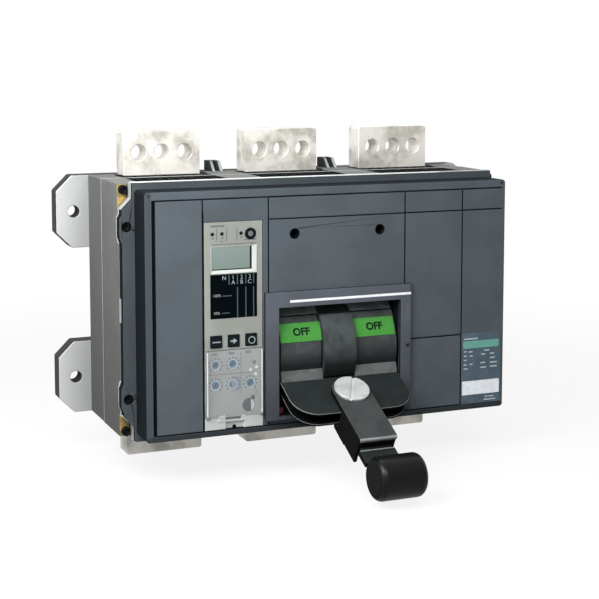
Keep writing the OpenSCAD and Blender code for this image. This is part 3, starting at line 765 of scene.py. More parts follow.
class Sketch:
    """A shape being drawn in millimetres, which becomes one piece."""

    def __init__(self) -> None:
        """Starts an empty shape."""
        self.shape = bmesh.new()

    def block(self, x: Range, y: Range, z: Range) -> None:
        """Adds a box between three pairs of limits."""
        self.prism(corners((*x, *z)), *y)

    def boxes(self, y: Range, rows: Iterable[Box]) -> None:
        """Adds boxes that share their front and back; a row gives a box's limits in X and in Z."""
        for row in rows:
            self.prism(corners(row), *y)

    def prism(self, outline: Outline, y0: float, y1: float) -> None:
        """Adds an outline, drawn anticlockwise in X and Z, made solid from y0 back to y1."""
        front = [self.shape.verts.new((x, y0, z)) for x, z in outline]
        back = [self.shape.verts.new((x, y1, z)) for x, z in outline]
        self.shape.faces.new(front)
        self.shape.faces.new(back[::-1])
        for i in range(len(outline)):
            j = (i + 1) % len(outline)
            self.shape.faces.new((front[j], front[i], back[i], back[j]))

    def loft(self, sections: list[list[Place | Vector]], closed: bool = False, capped: bool = True) -> None:
        """Adds a skin through sections with as many corners each.

        Args:
            sections: the corners of each section, in order.
            closed: whether the last section joins the first.
            capped: whether an open skin gets a face at each end.
        """
        rings = [[self.shape.verts.new(corner) for corner in section] for section in sections]
        for a, b in zip(rings, rings[1:] + rings[:1] if closed else rings[1:]):
            for k in range(len(a)):
                j = (k + 1) % len(a)
                self.shape.faces.new((a[k], a[j], b[j], b[k]))
        if capped and not closed:
            self.shape.faces.new(rings[0][::-1])
            self.shape.faces.new(rings[-1])

    def band(self, path: Outline, inside: float, outside: float, y0: float, y1: float,
             closed: bool = True) -> None:
        """Adds a band along a path in X and Z.

        Args:
            path: the path's points, anticlockwise.
            inside: how far the band reaches to the path's left.
            outside: how far it reaches to the path's right.
            y0: its front.
            y1: its back.
            closed: whether the path ends where it starts.
        """
        count = len(path)
        sections = []
        for i, here in enumerate(path):
            before = path[i - 1] if closed or i else here
            after = path[(i + 1) % count] if closed or i < count - 1 else here
            into = Vector(here) - Vector(before)
            out = Vector(after) - Vector(here)
            into, out = into or out, out or into
            normal = Vector((into.y, -into.x)).normalized() + Vector((out.y, -out.x)).normalized()
            normal *= 2 / normal.length_squared
            sections.append([
                (here[0] + normal.x * reach, y, here[1] + normal.y * reach)
                for reach, y in ((-inside, y0), (outside, y0), (outside, y1), (-inside, y1))
            ])
        self.loft(sections, closed)

    def turned(self, profile: Outline, place: Matrix, steps: int = 40) -> None:
        """Turns a profile about an axis.

        Args:
            profile: radius and height of each point from foot to top; a radius of 0 closes the shape.
            place: puts the axis, drawn along Z, where it belongs.
            steps: facets round the axis.
        """
        rings = []
        for radius, height in profile:
            points = [(0, 0)] if radius <= 0 else circle(0, 0, radius, steps)
            rings.append([self.shape.verts.new(place @ Vector((*point, height))) for point in points])
        for low, high in zip(rings, rings[1:]):
            for i in range(steps):
                j = (i + 1) % steps
                unique = list(dict.fromkeys((low[i % len(low)], low[j % len(low)],
                                             high[j % len(high)], high[i % len(high)])))
                if len(unique) > 2:
                    self.shape.faces.new(unique)

    def letters(self, text: str, height: float, place: Callable[[Vector], Vector], weight: float = 0.0,
                extrude: float = 0.03) -> None:
        """Adds raised lettering.

        Args:
            text: what it says.
            height: height of its capitals in mm.
            place: turns a point of the flat lettering, x right, y up and z out, into one in space.
            weight: how much each stroke is thickened on either side, in mm.
            extrude: half the lettering's thickness in mm.
        """
        curve = bpy.data.curves.new("lettering", "FONT")
        curve.body = text
        curve.align_x = "CENTER"
        curve.align_y = "CENTER"
        curve.size = height / 0.7
        curve.extrude = extrude
        curve.offset = weight
        carrier = bpy.data.objects.new("lettering", curve)
        bpy.context.scene.collection.objects.link(carrier)
        bpy.context.view_layer.update()
        mesh = carrier.to_mesh()
        known = len(self.shape.verts)
        self.shape.from_mesh(mesh)
        carrier.to_mesh_clear()
        bpy.data.objects.remove(carrier)
        self.shape.verts.ensure_lookup_table()
        for vert in self.shape.verts[known:]:
            vert.co = place(vert.co)

    def piece(self, name: str, finish: Finish, slot: Slot, body: Body = Body.BREAKER,
              edge: float = 0.0) -> bpy.types.Object:
        """Ends the drawing and places it as a piece."""
        bmesh.ops.recalc_face_normals(self.shape, faces=self.shape.faces)
        bmesh.ops.scale(self.shape, vec=(MM, MM, MM), verts=self.shape.verts)
        return place_piece(name, self.shape, finish, slot, body.value, edge)


def draw_boxes(name: str, finish: Finish, slot: Slot, y: Range, rows: Iterable[Box],
               body: Body = Body.BREAKER, edge: float = 0.0) -> None:
    """Draws one piece of boxes that share their front and back."""
    sketch = Sketch()
    sketch.boxes(y, rows)
    sketch.piece(name, finish, slot, body, edge)


def facing(x: float, z: float, y: float) -> Matrix:
    """Places a shape drawn in XY, with Z towards its viewer, on a face that looks to the front."""
    return Matrix(((1, 0, 0, x), (0, 0, -1, y), (0, 1, 0, z), (0, 0, 0, 1)))


def mirrored(points: Outline, sx: int, sz: int) -> list[Point]:
    """Mirrors an outline across and up, and keeps it anticlockwise."""
    flipped = [(x * sx, z * sz) for x, z in points]
    return flipped if sx * sz > 0 else flipped[::-1]


QUARTERS = ((1, 1), (-1, 1), (-1, -1), (1, -1))


# ---------------------------------------------------------------------------------------------
# Sub-assemblies
# ---------------------------------------------------------------------------------------------


@dataclass
class Case:
    """The two case mouldings, the vents and guides on them, and the fixings in their corners."""

    half_width: float = 177.5
    half_height: float = 107.5
    seam_y: float = -63.0
    seam_half: float = 0.4
    notch_x: float = 169.25
    notch_z: float = 96.0
    slope_z: float = 87.2
    bulge: float = 2.0
    bulge_z: tuple[float, ...] = (58.5, 63.5, 79.5, 83.5)
    flange_half_height: float = 109.0
    lip_in: float = 0.3
    lip_out: float = 0.5
    lip_y: Range = (-121.6, -120.3)
    # Painted highlight along the flange's upper and lower edges, between these limits in X.
    highlight_x: Range = (-169.25, 118.0)
    flange_lip_y: Range = (-130.4, -121.5)
    flange_lip_t: float = 0.3
    tab_x: Range = (178.1, 178.8)
    tab_y: Range = (-126.0, -121.6)
    tab_z: Range = (-8.0, 12.0)
    slope: Outline = ((178.2, 86.8), (169.25, 96.0), (169.25, 109.0))
    slope_out: float = 0.45
    slope_y: Range = (-127.5, -121.5)
    shine_reach: Range = (-0.2, 0.75)
    shine_y: Range = (-121.85, -120.6)
    pitch: float = 115.0
    # Painted shade by the bars' feet: reach from each pole's middle, depth and thickness.
    well_shade_reach: Range = (36.1, 42.0)
    well_shade_y: Range = (-39.2, -27.0)
    well_shade_t: float = 0.3

    def build(self) -> None:
        """Builds the case from back to front."""
        finished("rear_case", REAR_MOULDING, Slot.CASE, 0.8, merge=False)
        finished("middle_case", FRONT_MOULDING, Slot.CASE, 0.5, merge=False)
        finished("cover_flange", FLANGE_PLASTIC, Slot.FLANGE, 0.5, merge=False)
        for pole in ("left", "centre", "right"):
            finished(f"arc_chute_{pole}", CHUTE_PLASTIC, Slot.CHUTE, 0.4)
        finished("barrier_guides", GUIDE_PLASTIC, Slot.CASE, 0.5)
        finished("corner_plates", CORNER_STEEL, Slot.CORNER, 0.3)
        finished("corner_screws", BLACK_OXIDE, Slot.CAP_SCREW, 0.5)
        finished("flange_screws", BLACK_OXIDE, Slot.CAP_SCREW, 0.4)
        self.rim()
        self.well_shades()
        self.seam()

    def quarter(self) -> list[Point]:
        """Gives the upper right quarter of the front rim's outline, from the side to the top."""
        w, out = self.half_width, self.half_width + self.bulge
        return [*zip((w, out, out, w), self.bulge_z), (w, self.slope_z), (self.notch_x, self.notch_z),
                (self.notch_x, self.half_height)]

    def rim(self) -> None:
        """Draws the lip round the case's front edge, beside and above the flange, in painted highlight."""
        rim, bright = Sketch(), Sketch()
        outline = [point for sx, sz in QUARTERS for point in mirrored(self.quarter(), sx, sz)]
        rim.band(outline, self.lip_in, self.lip_out, *self.lip_y)
        for side in (-1, 1):
            edge = side * self.flange_half_height
            z = sorted((edge, edge + side * self.flange_lip_t))
            bright.block(self.highlight_x, self.flange_lip_y, z)
            rim.block((self.highlight_x[1] + 0.1, self.notch_x), self.flange_lip_y, z)
            rim.block(sorted(side * x for x in self.tab_x), self.tab_y, self.tab_z)
        for sx, sz in QUARTERS:
            slope = mirrored(self.slope, sx, sz)
            rim.band(slope, self.lip_in, self.slope_out, *self.slope_y, closed=False)
            bulge = mirrored(self.quarter()[:5], sx, sz)
            bright.band(bulge, *self.shine_reach, *self.shine_y, closed=False)
        # painted highlight: the lip is lighter than the case
        rim.piece("case_rim", LIT_RIM_MOULDING, Slot.CASE, edge=0.15)
        # painted highlight on the bulges and along the flange's edges
        bright.piece("case_highlight_edge", GLINT_MOULDING, Slot.CASE, edge=0.12)

    def well_shades(self) -> None:
        """Paints shade as dark strips by the foot of each upper bar, going on from the vents."""
        well_shades = Sketch()
        z = (self.half_height, self.half_height + self.well_shade_t)
        for pole, hand in itertools.product((-1, 0, 1), (-1, 1)):
            x = sorted(pole * self.pitch + hand * reach for reach in self.well_shade_reach)
            well_shades.block(x, self.well_shade_y, z)
        well_shades.piece("terminal_well_shades", CHUTE_PLASTIC, Slot.CHUTE)

    def seam(self) -> None:
        """Draws the fine bead along the joint of the two mouldings, lighter as painted highlight."""
        w, h = self.half_width, self.half_height
        seam = Sketch()
        seam.band([(w, -h), (w, h), (-w, h), (-w, -h)], self.lip_in, self.lip_in,
                  *around(self.seam_y, self.seam_half))
        seam.piece("case_seam", LIT_RIM_MOULDING, Slot.CASE, edge=0.2)


@dataclass
class Terminals:
    """The plated bars of the six terminals and the two steel plates that carry the breaker."""

    def build(self) -> None:
        """Builds the bars and the plates."""
        for row in ("upper", "lower"):
            for pole in ("left", "centre", "right"):
                finished(f"{row}_terminal_{pole}", BAR_PLATING, Slot.BAR, 0.7, 3)
            finished(f"{row}_mounting_plate", PLATE_STEEL, Slot.PLATE, 0.9, 3)


@dataclass
class Cover:
    """The front cover, with painted shade in the bottoms of its grooves and the moulded dots of its corners.
    """

    front_y: float = -160.0
    dimple_x: float = 164.0
    dimple_z: float = 100.4
    dimple_r: float = 1.5
    groove_y: float = -158.4
    groove_half: float = 0.5
    deep_x: Range = (-161.4, -158.6)
    panel_x: Range = (-158.4, 164.3)
    panel_z: Range = (-98.3, 96.0)
    joint_x: tuple[float, ...] = (-118.3, -60.2, 67.5, 124.2)
    band_z: float = 77.3
    label_band_z: float = -34.4

    def build(self) -> None:
        """Builds the cover, its grooves' shade and its corner dots."""
        finished("front_cover", COVER_PLASTIC, Slot.COVER, 0.4, merge=False)
        dots = Sketch()
        r = self.dimple_r
        profile = [(0, 0.02), (r * 0.5, 0.02), (r * 0.7, 0.1), (r, 0.08), (r, -0.4), (0, -0.4)]
        for sx, sz in QUARTERS:
            dots.turned(profile, facing(sx * self.dimple_x, sz * self.dimple_z, self.front_y), 24)
        dots.piece("corner_dots", DOT_PLASTIC, Slot.COVER)
        self.grooves()

    def grooves(self) -> None:
        """Lays painted shade along the grooves, darkest in the deep one and the left upright joints."""
        h = self.groove_half
        y = thin(self.groove_y, 0.25)
        low, top = self.panel_z
        uprights = [(*around(x, h), low + h, top - h) for x in self.joint_x]
        deep = [(*self.deep_x, low, top), *uprights[:2]]
        draw_boxes("cover_groove_shade_deep", GAP_SHADE, Slot.COVER, y, deep)
        fine = [(*self.panel_x, *around(z, h)) for z in self.panel_z] + uprights[2:]
        fine.append((self.joint_x[1] + h, self.panel_x[1], *around(self.band_z, h)))
        fine.append((self.joint_x[2] + h, self.joint_x[3] - h, *around(self.label_band_z, h)))
        draw_boxes("cover_groove_shade_fine", LINE_SHADE, Slot.COVER, y, fine)


@dataclass
class Escutcheon:
    """The raised frame round the handle's window, with its printed marks."""

    front_y: float = -164.0
    stripe: Box = (-42.3, 71.8, 6.1, 8.2)
    mark_x: float = 68.9
    mark_half: float = 2.6
    mark_z: Range = (-41.4, -37.4)
    dash_z: Range = (-7.5, -1.5)
    patch: Box = (-51.6, -45.5, -90.6, -85.0)
    patch_y: Range = (-156.0, -155.0)

    def build(self) -> None:
        """Builds the frame and its marks."""
        slot = Slot.ESCUTCHEON
        finished("handle_escutcheon", ESCUTCHEON_PLASTIC, slot, 0.6, merge=False)
        y = thin(self.front_y)
        draw_boxes("escutcheon_stripe", WHITE_INK, slot, thin(self.front_y, 0.1), [self.stripe])
        mark = Sketch()
        left, right = around(self.mark_x, self.mark_half)
        tip, top = self.mark_z
        mark.prism([(left, top), (self.mark_x, tip), (right, top)], *y)
        mark.piece("escutcheon_mark", LINE_SHADE, slot)
        draw_boxes("window_patch", RED_LACQUER, slot, self.patch_y, [self.patch], edge=0.3)
        draw_boxes("escutcheon_dash", GREY_INK, slot, y, [(*around(self.mark_x, 0.6), *self.dash_z)])


@dataclass
class Drum:
    """The turning shield behind the window, with its labels, strap and sills."""

    x: Range = (-49.5, 59.5)
    axis_y: float = -113.5
    axis_z: float = -40.0
    radius: float = 48.0
    label_top: float = 48.5
    strap_x: Range = (-11.0, 19.0)
    off_angle: float = 23.25
    on_angle: float = -77.25
    hood_angle: float = 42.5
    hood_sweep: float = 40.0
    hood_radii: Range = (47.9, 48.7)
    gap_sink: Range = (1.4, 0.1)
    side_gap_x: Range = (-12.5, -11.2)
    side_gap_angles: Range = (-60.0, 41.0)
    gap_radii: Range = (47.9, 48.12)
    sill_angles: Range = (-24.4, -16.0)
    sill_out: float = 5.5
    word_x: tuple[float, float] = (-29.6, 39.0)
    word_height: float = 6.2
    word_weight: float = 0.32
    word_rise: float = 0.06
    word_t: float = 0.12

    def build(self) -> None:
        """Builds the shield and what is on it."""
        finished("handle_drum", DRUM_PLASTIC, Slot.DRUM, 0.4)
        finished("handle_strap", STRAP_PLASTIC, Slot.STRAP, 0.5)
        finished("off_labels", OFF_INK, Slot.OFF, 0.0)
        finished("on_labels", ON_INK, Slot.ON, 0.0)
        self.words("off_words", "OFF", self.off_angle, WORD_INK, Slot.OFF)
        self.words("on_words", "ON", self.on_angle, WHITE_INK, Slot.ON)
        self.hood()
        self.sills()

    def on_drum(self, x: float, angle: float, radius: float) -> Vector:
        """Gives a point of the drum at an angle above level, in degrees."""
        a = math.radians(angle)
        return Vector((x, self.axis_y - radius * math.cos(a), self.axis_z + radius * math.sin(a)))

    def words(self, name: str, text: str, angle: float, ink: Finish, slot: Slot) -> None:
        """Prints a word on both label fields, bent round the drum."""
        sketch = Sketch()
        for middle in self.word_x:
            sketch.letters(text, self.word_height, lambda p: self.on_drum(
                middle + p.x, angle + math.degrees(p.y / self.radius), self.label_top + p.z + self.word_rise),
                self.word_weight, self.word_t)
        sketch.piece(name, ink, slot, Body.HANDLE)

    def sector(self, sketch: Sketch, x: Range, angles: Range, radii: Range, steps: int = 12,
               flare: float = 0.0) -> None:
        """Adds part of a shell round the drum's axis.

        Args:
            sketch: the drawing it goes to.
            x: its ends along the axis.
            angles: its lower and upper edges in degrees above level.
            radii: its inner and outer radius.
            steps: facets along its curve.
            flare: how much further out its lower edge reaches.
        """
        rows = []
        for step in range(steps + 1):
            angle = angles[0] + (angles[1] - angles[0]) * step / steps
            outer = radii[1] + flare * (1 - step / steps)
            rows.append([self.on_drum(end, angle, r) for r, end in
                         ((radii[0], x[0]), (outer, x[0]), (outer, x[1]), (radii[0], x[1]))])
        sketch.loft(rows)

    def fields(self, end: float, strap: float) -> tuple[Range, Range]:
        """Gives the drum's parts left and right of the strap, less a margin at either side."""
        return (self.x[0] + end, self.strap_x[0] - strap), (self.strap_x[1] + strap, self.x[1] - end)

    def hood(self) -> None:
        """Draws the raised step over the label fields, and painted shade in the gap under it and by the
        strap.
        """
        hood, gap = Sketch(), Sketch()
        foot = self.hood_angle
        for span in self.fields(0.2, 0.3):
            self.sector(hood, span, (foot, foot + self.hood_sweep), self.hood_radii)
            self.sector(gap, span, tuple(foot - sink for sink in self.gap_sink), self.gap_radii, 2)
        self.sector(gap, self.side_gap_x, self.side_gap_angles, self.gap_radii, 24)
        # painted light: the step is drawn in a lighter copy of the drum's plastic
        hood.piece("drum_hood", LIT_HOOD_PLASTIC, Slot.DRUM, Body.HANDLE, edge=0.3)
        # painted shade in the gaps
        gap.piece("drum_gap_shades", GAP_SHADE, Slot.DRUM, Body.HANDLE)

    def sills(self) -> None:
        """Draws the pale sills that lead from the drum out onto the upper plate."""
        sills = Sketch()
        for span in self.fields(0.1, 0.1):
            self.sector(sills, span, self.sill_angles, (self.radius, self.radius + 0.6), 6, self.sill_out)
        piece = sills.piece("finished_drum_sills", SILL_PLASTIC, Slot.DRUM, Body.HANDLE, edge=0.25)
        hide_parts("drum_sills")


@dataclass(frozen=True)
class Plate:
    """One of the handle's plates, in the lever's own measures.

    Args:
        half: half its width.
        reach: how far out from the axis it ends.
        corner: radius of its front corners.
        top: height of its upper face.
    """

    half: float
    reach: float
    corner: float
    top: float


@dataclass
class Lever:
    """The handle's two plates, its arm with the big screw, and the grip."""

    middle_x: float = 5.0
    axis_y: float = -113.5
    axis_z: float = -40.0
    tilt: float = 27.0
    upper: Plate = Plate(55.0, 97.0, 22.0, 2.4)
    lower: Plate = Plate(53.0, 96.0, 21.0, -9.6)
    # Painted highlight along the plates' front edges: drop below the top, half height, reach out and in.
    highlight_drop: float = 0.75
    highlight_half: float = 0.25
    highlight_out: float = 0.06
    highlight_in: float = 0.4
    root: float = 52.0
    arm_half: float = 16.6
    nose_out: float = 135.51
    nose_up: float = 4.91
    nose_r: Range = (2.0, 2.54)
    nose_angles: Range = (-48.0, 62.0)
    nose_steps: int = 10
    tongue_at: Point = (139.2, -3.6)
    tongue_inset: float = 1.2
    tongue_size: Point = (1.0, 0.35)
    curl_at: Point = (-16.5, -11.8)
    curl_out: float = 96.2
    curl_r: Point = (2.6, 3.2)
    curl_angles: Range = (-70.0, 100.0)
    curl_size: Point = (0.3, 0.8)

    def build(self) -> None:
        """Builds the handle from the plates outwards."""
        finished("upper_handle_plate", LEVER_ENAMEL, Slot.LEVER, 0.7, 3)
        finished("lower_handle_plate", SHADED_LOWER_PLATE_ENAMEL, Slot.LEVER, 0.7, 3)
        # The core between the plates is drawn near-black: painted shade in the gap.
        finished("handle_core", GAP_SHADE, Slot.LEVER, 0.5)
        finished("handle_arm", ARM_ENAMEL, Slot.ARM, 0.8, 3)
        finished("arm_tongue", LEVER_ENAMEL, Slot.ARM, 0.5)
        finished("handle_screw", HEAD_STEEL, Slot.SCREW, 0.4, 3)
        finished("handle_grip", GRIP_PLASTIC, Slot.GRIP, 0.4)
        self.highlight_edge("upper_highlight_edge", self.upper, EDGE_HIGHLIGHT_ENAMEL)
        self.highlight_edge("lower_highlight_edge", self.lower, FOOT_HIGHLIGHT_ENAMEL)
        self.bend()

    def point(self, x: float, out: float, up: float) -> Vector:
        """Gives a point of the lever: across it, out from its axis and up from its middle plane."""
        c, s = math.cos(math.radians(self.tilt)), math.sin(math.radians(self.tilt))
        return Vector((self.middle_x + x, self.axis_y - out * c - up * s, self.axis_z - out * s + up * c))

    def outline(self, half: float, reach: float, corner: float, steps: int = 14) -> list[Point]:
        """Gives a plate's outline from its left root round the front to its right root."""
        bow = [(-half + corner * (1 - c), reach - corner * (1 - s)) for c, s in turns(0, 90, steps)]
        left = [(-half, self.root), *bow]
        return left + [(-x, out) for x, out in left[::-1]]

    def strip(self, name: str, finish: Finish, slot: Slot, rows: list[list[Place]],
              edge: float = 0.0) -> None:
        """Draws a piece through sections, each corner given across, out and up."""
        sketch = Sketch()
        sketch.loft([[self.point(*corner) for corner in row] for row in rows])
        sketch.piece(name, finish, slot, Body.HANDLE, edge)

    def highlight_edge(self, name: str, plate: Plate, finish: Finish) -> None:
        """Draws a painted highlight along the front edge of a plate."""
        low, high = around(plate.top - self.highlight_drop, self.highlight_half)
        out, into = self.highlight_out, self.highlight_in
        outer = self.outline(plate.half + out, plate.reach + out, plate.corner)
        inner = self.outline(plate.half - into, plate.reach - into, plate.corner - into)
        self.strip(name, finish, Slot.LEVER, [
            [(x, front, low), (x, front, high), (back_x, back, high), (back_x, back, low)]
            for (x, front), (back_x, back) in zip(outer, inner)
        ])

    def bend(self) -> None:
        """Paints highlight on the arm's front bend and along its tongue, and draws the lower plate's light
        curl.
        """
        (inner, outer), w = self.nose_r, self.arm_half
        self.strip("arm_bend_highlight", BEND_HIGHLIGHT_ENAMEL, Slot.ARM, [
            [(x, self.nose_out + r * c, self.nose_up + r * s)
             for x, r in ((-w, inner), (-w, outer), (w, outer), (w, inner))]
            for c, s in turns(*self.nose_angles, self.nose_steps)
        ], edge=0.05)
        w -= self.tongue_inset
        (out, up), (deep, high) = self.tongue_at, self.tongue_size
        self.strip("tongue_highlight_line", BEND_HIGHLIGHT_ENAMEL, Slot.ARM, [
            [(x, out, up), (x, out + deep, up), (x, out + deep, up + high), (x, out, up + high)]
            for x in (-w, w)
        ])
        (half, deep), out = self.curl_size, self.curl_out
        rows = []
        for c, s in turns(*self.curl_angles, 8):
            x, up = self.curl_at[0] + self.curl_r[0] * c, self.curl_at[1] + self.curl_r[1] * s
            rows.append([(x - half, out, up), (x + half, out, up),
                         (x + half, out + deep, up), (x - half, out + deep, up)])
        self.strip("lower_plate_curl", FOOT_HIGHLIGHT_ENAMEL, Slot.LEVER, rows)


@dataclass
class TripUnit:
    """The electronic trip unit: its housing, display, load panel, keys, dials and clear flap."""

    front_y: float = -160.0
    display: Box = (-111.3, -71.0, 33.8, 57.0)
    cell: Box = (-110.1, -75.1, 36.6, 55.7)
    # Painted shadow along the cell's right side and foot: depth, width at the right and height at the foot.
    cell_shadow_y: Range = (-159.55, -159.38)
    cell_shadow_right: float = 1.6
    cell_shadow_foot: float = 0.9
    lamp_x: tuple[float, ...] = (-109.8, -101.5, -84.7)
    lamp_z: float = 66.9
    lamp_r: float = 1.5
    header_marks: Marks = (
        ((-106.0, -97.2, -88.3), 0.35, (60.5, 71.4)), ((-91.0,), 19.8, (57.9, 58.6)),
        ((-105.35,), 6.15, (72.8, 74.2)), ((-109.6, -100.9, -84.4), 1.3, (63.0, 64.0)),
        ((-101.7,), 1.3, (60.3, 61.2)), ((-79.8, -73.4), 2.0, (60.9, 61.9)),
    )
    reset_ring: Outline = ((5.0, -0.3), (5.0, 0.25), (4.6, 0.5), (3.9, 0.5), (3.75, 0.3),
                                     (3.75, -0.3))
    reset_cap: Outline = ((2.3, -0.3), (2.3, 0.12), (2.0, 0.2), (0.8, 0.2), (0.6, 0.06),
                                    (0, 0.05))
    reset_at: Point = (-76.4, 66.2)
    load_words: tuple[tuple[str, float, float, float], ...] = (
        ("N", -99.8, 29.9, 3.4), ("1", -91.8, 30.0, 3.4), ("A", -91.8, 25.9, 3.4),
        ("2", -84.3, 30.1, 3.4), ("B", -84.3, 26.0, 3.4), ("3", -77.1, 30.1, 3.4),
        ("C", -77.1, 25.9, 3.4), ("100%", -106.2, 15.4, 2.3), ("50%", -106.2, 0.7, 2.3),
    )
    neutral_rule: Box = (-95.9, -94.9, 24.2, 32.6)
    phase_x: tuple[float, ...] = (-88.0, -80.6, -73.7)
    phase_z: Range = (24.2, 32.6)
    column_z: Range = (-3.6, 21.8)
    load_marks: tuple[Box, ...] = ((-101.8, -93.0, 14.6, 15.4), (-101.8, -95.0, 0.2, 1.0))
    key_face_y: float = -161.0
    menu_bar: Box = (-110.4, -103.4, -23.8, -22.8)
    arrow: Outline = ((-94.6, -23.9), (-92.0, -23.9), (-92.0, -25.6), (-88.7, -23.2),
                                (-92.0, -20.8), (-92.0, -22.5), (-94.6, -22.5))
    clear_at: Point = (-75.7, -23.6)
    clear_r: float = 2.8
    dial_x: tuple[float, ...] = (-107.7, -92.4, -107.7, -92.4, -77.0)
    dial_z: tuple[float, ...] = (-42.9, -42.9, -60.0, -60.0, -60.0)
    dial_face_y: float = -159.6
    tick_angles: Range = (-40.0, 220.0)
    tick_r: Range = (5.0, 6.3)
    tick_half: float = 0.55
    halo_r: float = 3.75
    halo_reach: Range = (0.2, 0.4)
    slot_shade_outline: Outline = ((-2.3, -1.1), (-1.5, -1.9), (2.3, 1.1), (1.5, 1.9))
    dial_marks: Marks = (
        ((-85.25,), 0.25, (-69.5, -33.4)), ((-96.1,), 19.4, (-51.3, -50.7)),
        ((-108.6, -93.6, -78.6), 2.6, (-34.6, -32.4)),
    )
    dial_button: Point = (-73.3, -42.7)
    button: Outline = ((1.7, -0.1), (1.7, 0.1), (0, 0.1))
    dial_field: Box = (-93.6, -85.6, -66.2, -53.6)
    flap_x: Range = (-116.2, -66.8)
    flap_z: Range = (-86.4, -31.3)
    flap_y: float = -163.5
    flap_edge_w: float = 0.9
    flap_shadow: Range = (0.3, 1.1)
    # Painted glints: where three dimples shine under the flap; the profile below is drawn at each.
    glint_spots: Outline = ((-76.6, -49.1), (-71.3, -47.1), (-72.0, -53.0))
    dimple: Outline = ((1.3, 0.0), (1.3, 0.3), (0.7, 0.55), (0, 0.6))
    plug_at: Point = (-78.0, -79.0)
    plug_r: float = 5.2
    plug_half: Range = (-70.0, 70.0)
    plug_y: Range = (-159.95, -159.6)
    plug_screw_at: Point = (-74.6, -72.6)
    plug_screw: Outline = ((1.7, -0.2), (1.7, 0.35), (1.3, 0.5), (0, 0.5))
    ears: tuple[Outline, ...] = (
        ((-106.4, -91.6), (-99.0, -91.2), (-99.6, -85.8), (-104.2, -86.4)),
        ((-85.6, -91.6), (-80.0, -91.4), (-81.6, -86.6), (-85.2, -88.2)),
    )
    tab_edge: Box = (-98.7, -83.1, -91.4, -90.2)
    tab_hole: Point = (-91.4, -96.2)

    def build(self) -> None:
        """Builds the unit and its details."""
        finished("trip_unit_housing", TRIP_PLASTIC, Slot.TRIP_UNIT, 0.35, merge=False)
        finished("trip_unit_clips", CLIP_PLASTIC, Slot.TRIP_UNIT, 0.4)
        finished("rating_plug", PLUG_PLASTIC, Slot.TRIP_UNIT, 0.3)
        finished("display_window", DISPLAY_CELL, Slot.DISPLAY, 0.0)
        finished("load_panel", PANEL_FILM, Slot.LOAD_PANEL, 0.1)
        for key in ("menu_key", "select_key", "clear_key"):
            finished(key, KEY_RUBBER, Slot.KEY, 0.5, 3)
        finished("reset_button", KEY_RUBBER, Slot.RESET, 0.4, 3)
        for number in range(1, 6):
            finished(f"dial_{number}", DIAL_PLASTIC, Slot.DIAL, 0.25)
        finished("dial_cover", FLAP_CLEAR, Slot.CLEAR, 0.3)
        self.header()
        self.display_frame()
        self.load_scale()
        self.key_signs()
        self.dial_scales()
        self.flap_edges()
        self.plug_face()
        self.clip_ears()

    def header(self) -> None:
        """Draws the lamps, the lines between them and the ring of the reset button."""
        slot, r = Slot.TRIP_UNIT, self.lamp_r
        lamps = Sketch()
        for x in self.lamp_x:
            lamps.turned([(r, -0.3), (r, 0.2), (r * 0.7, 0.6), (r * 0.3, 0.75), (0, 0.78)],
                         facing(x, self.lamp_z, self.front_y), 20)
        lamps.piece("header_lamps", BLACK_INK, slot)
        draw_boxes("header_lines", GREY_INK, slot, thin(self.front_y, LABEL_OUT), marks(self.header_marks))
        ring = Sketch()
        ring.turned(self.reset_ring, facing(*self.reset_at, self.front_y), 40)
        ring.piece("reset_ring", BLACK_INK, slot)
        cap = Sketch()
        cap.turned(self.reset_cap, facing(*self.reset_at, self.key_face_y), 32)
        cap.piece("reset_cap", GREY_INK, Slot.RESET, Body.RESET)

    def display_frame(self) -> None:
        """Draws the display frame, painted light, sloping down to the cell, and a painted shadow by the cell.
        """
        back = self.front_y + 0.5
        edges = ((self.display, back), (self.display, self.front_y - 0.3), (self.cell, back))
        slopes = Sketch()
        slopes.loft([[(x, y, z) for x, z in corners(box)] for box, y in edges], capped=False)
        slopes.piece("display_frame", LIT_FRAME_PLASTIC, Slot.TRIP_UNIT)
        x0, x1, z0, z1 = self.cell
        step = x1 - self.cell_shadow_right
        draw_boxes("display_cell_shadow", GAP_SHADE, Slot.DISPLAY, self.cell_shadow_y,
                   [(step, x1, z0, z1), (x0, step, z0, z0 + self.cell_shadow_foot)])

    def load_scale(self) -> None:
        """Prints the load panel: phase names, their columns and the scale."""
        face = self.front_y - 0.1
        letters = Sketch()
        for text, x, z, height in self.load_words:
            letters.letters(text, height, lambda p, m=facing(x, z, face): m @ p)
        letters.piece("load_letters", FAINT_INK, Slot.LOAD_PANEL)
        columns = [(*around(x, 0.5), *z) for x in self.phase_x for z in (self.column_z, self.phase_z)]
        draw_boxes("load_columns", SLATE_INK, Slot.LOAD_PANEL, thin(face, sunk=0.05),
                   [self.neutral_rule, *columns, *self.load_marks])

    def key_signs(self) -> None:
        """Prints a bar, an arrow and a ring on the three keys."""
        y = thin(self.key_face_y, 0.1)
        draw_boxes("menu_sign", FAINT_INK, Slot.KEY, y, [self.menu_bar], Body.MENU_KEY)
        arrow = Sketch()
        arrow.prism(self.arrow, *y)
        arrow.piece("select_sign", FAINT_INK, Slot.KEY, Body.SELECT_KEY)
        ring = Sketch()
        ring.band(circle(*self.clear_at, self.clear_r, 28), 0.35, 0.35, *y)
        ring.piece("clear_sign", FAINT_INK, Slot.KEY, Body.CLEAR_KEY)

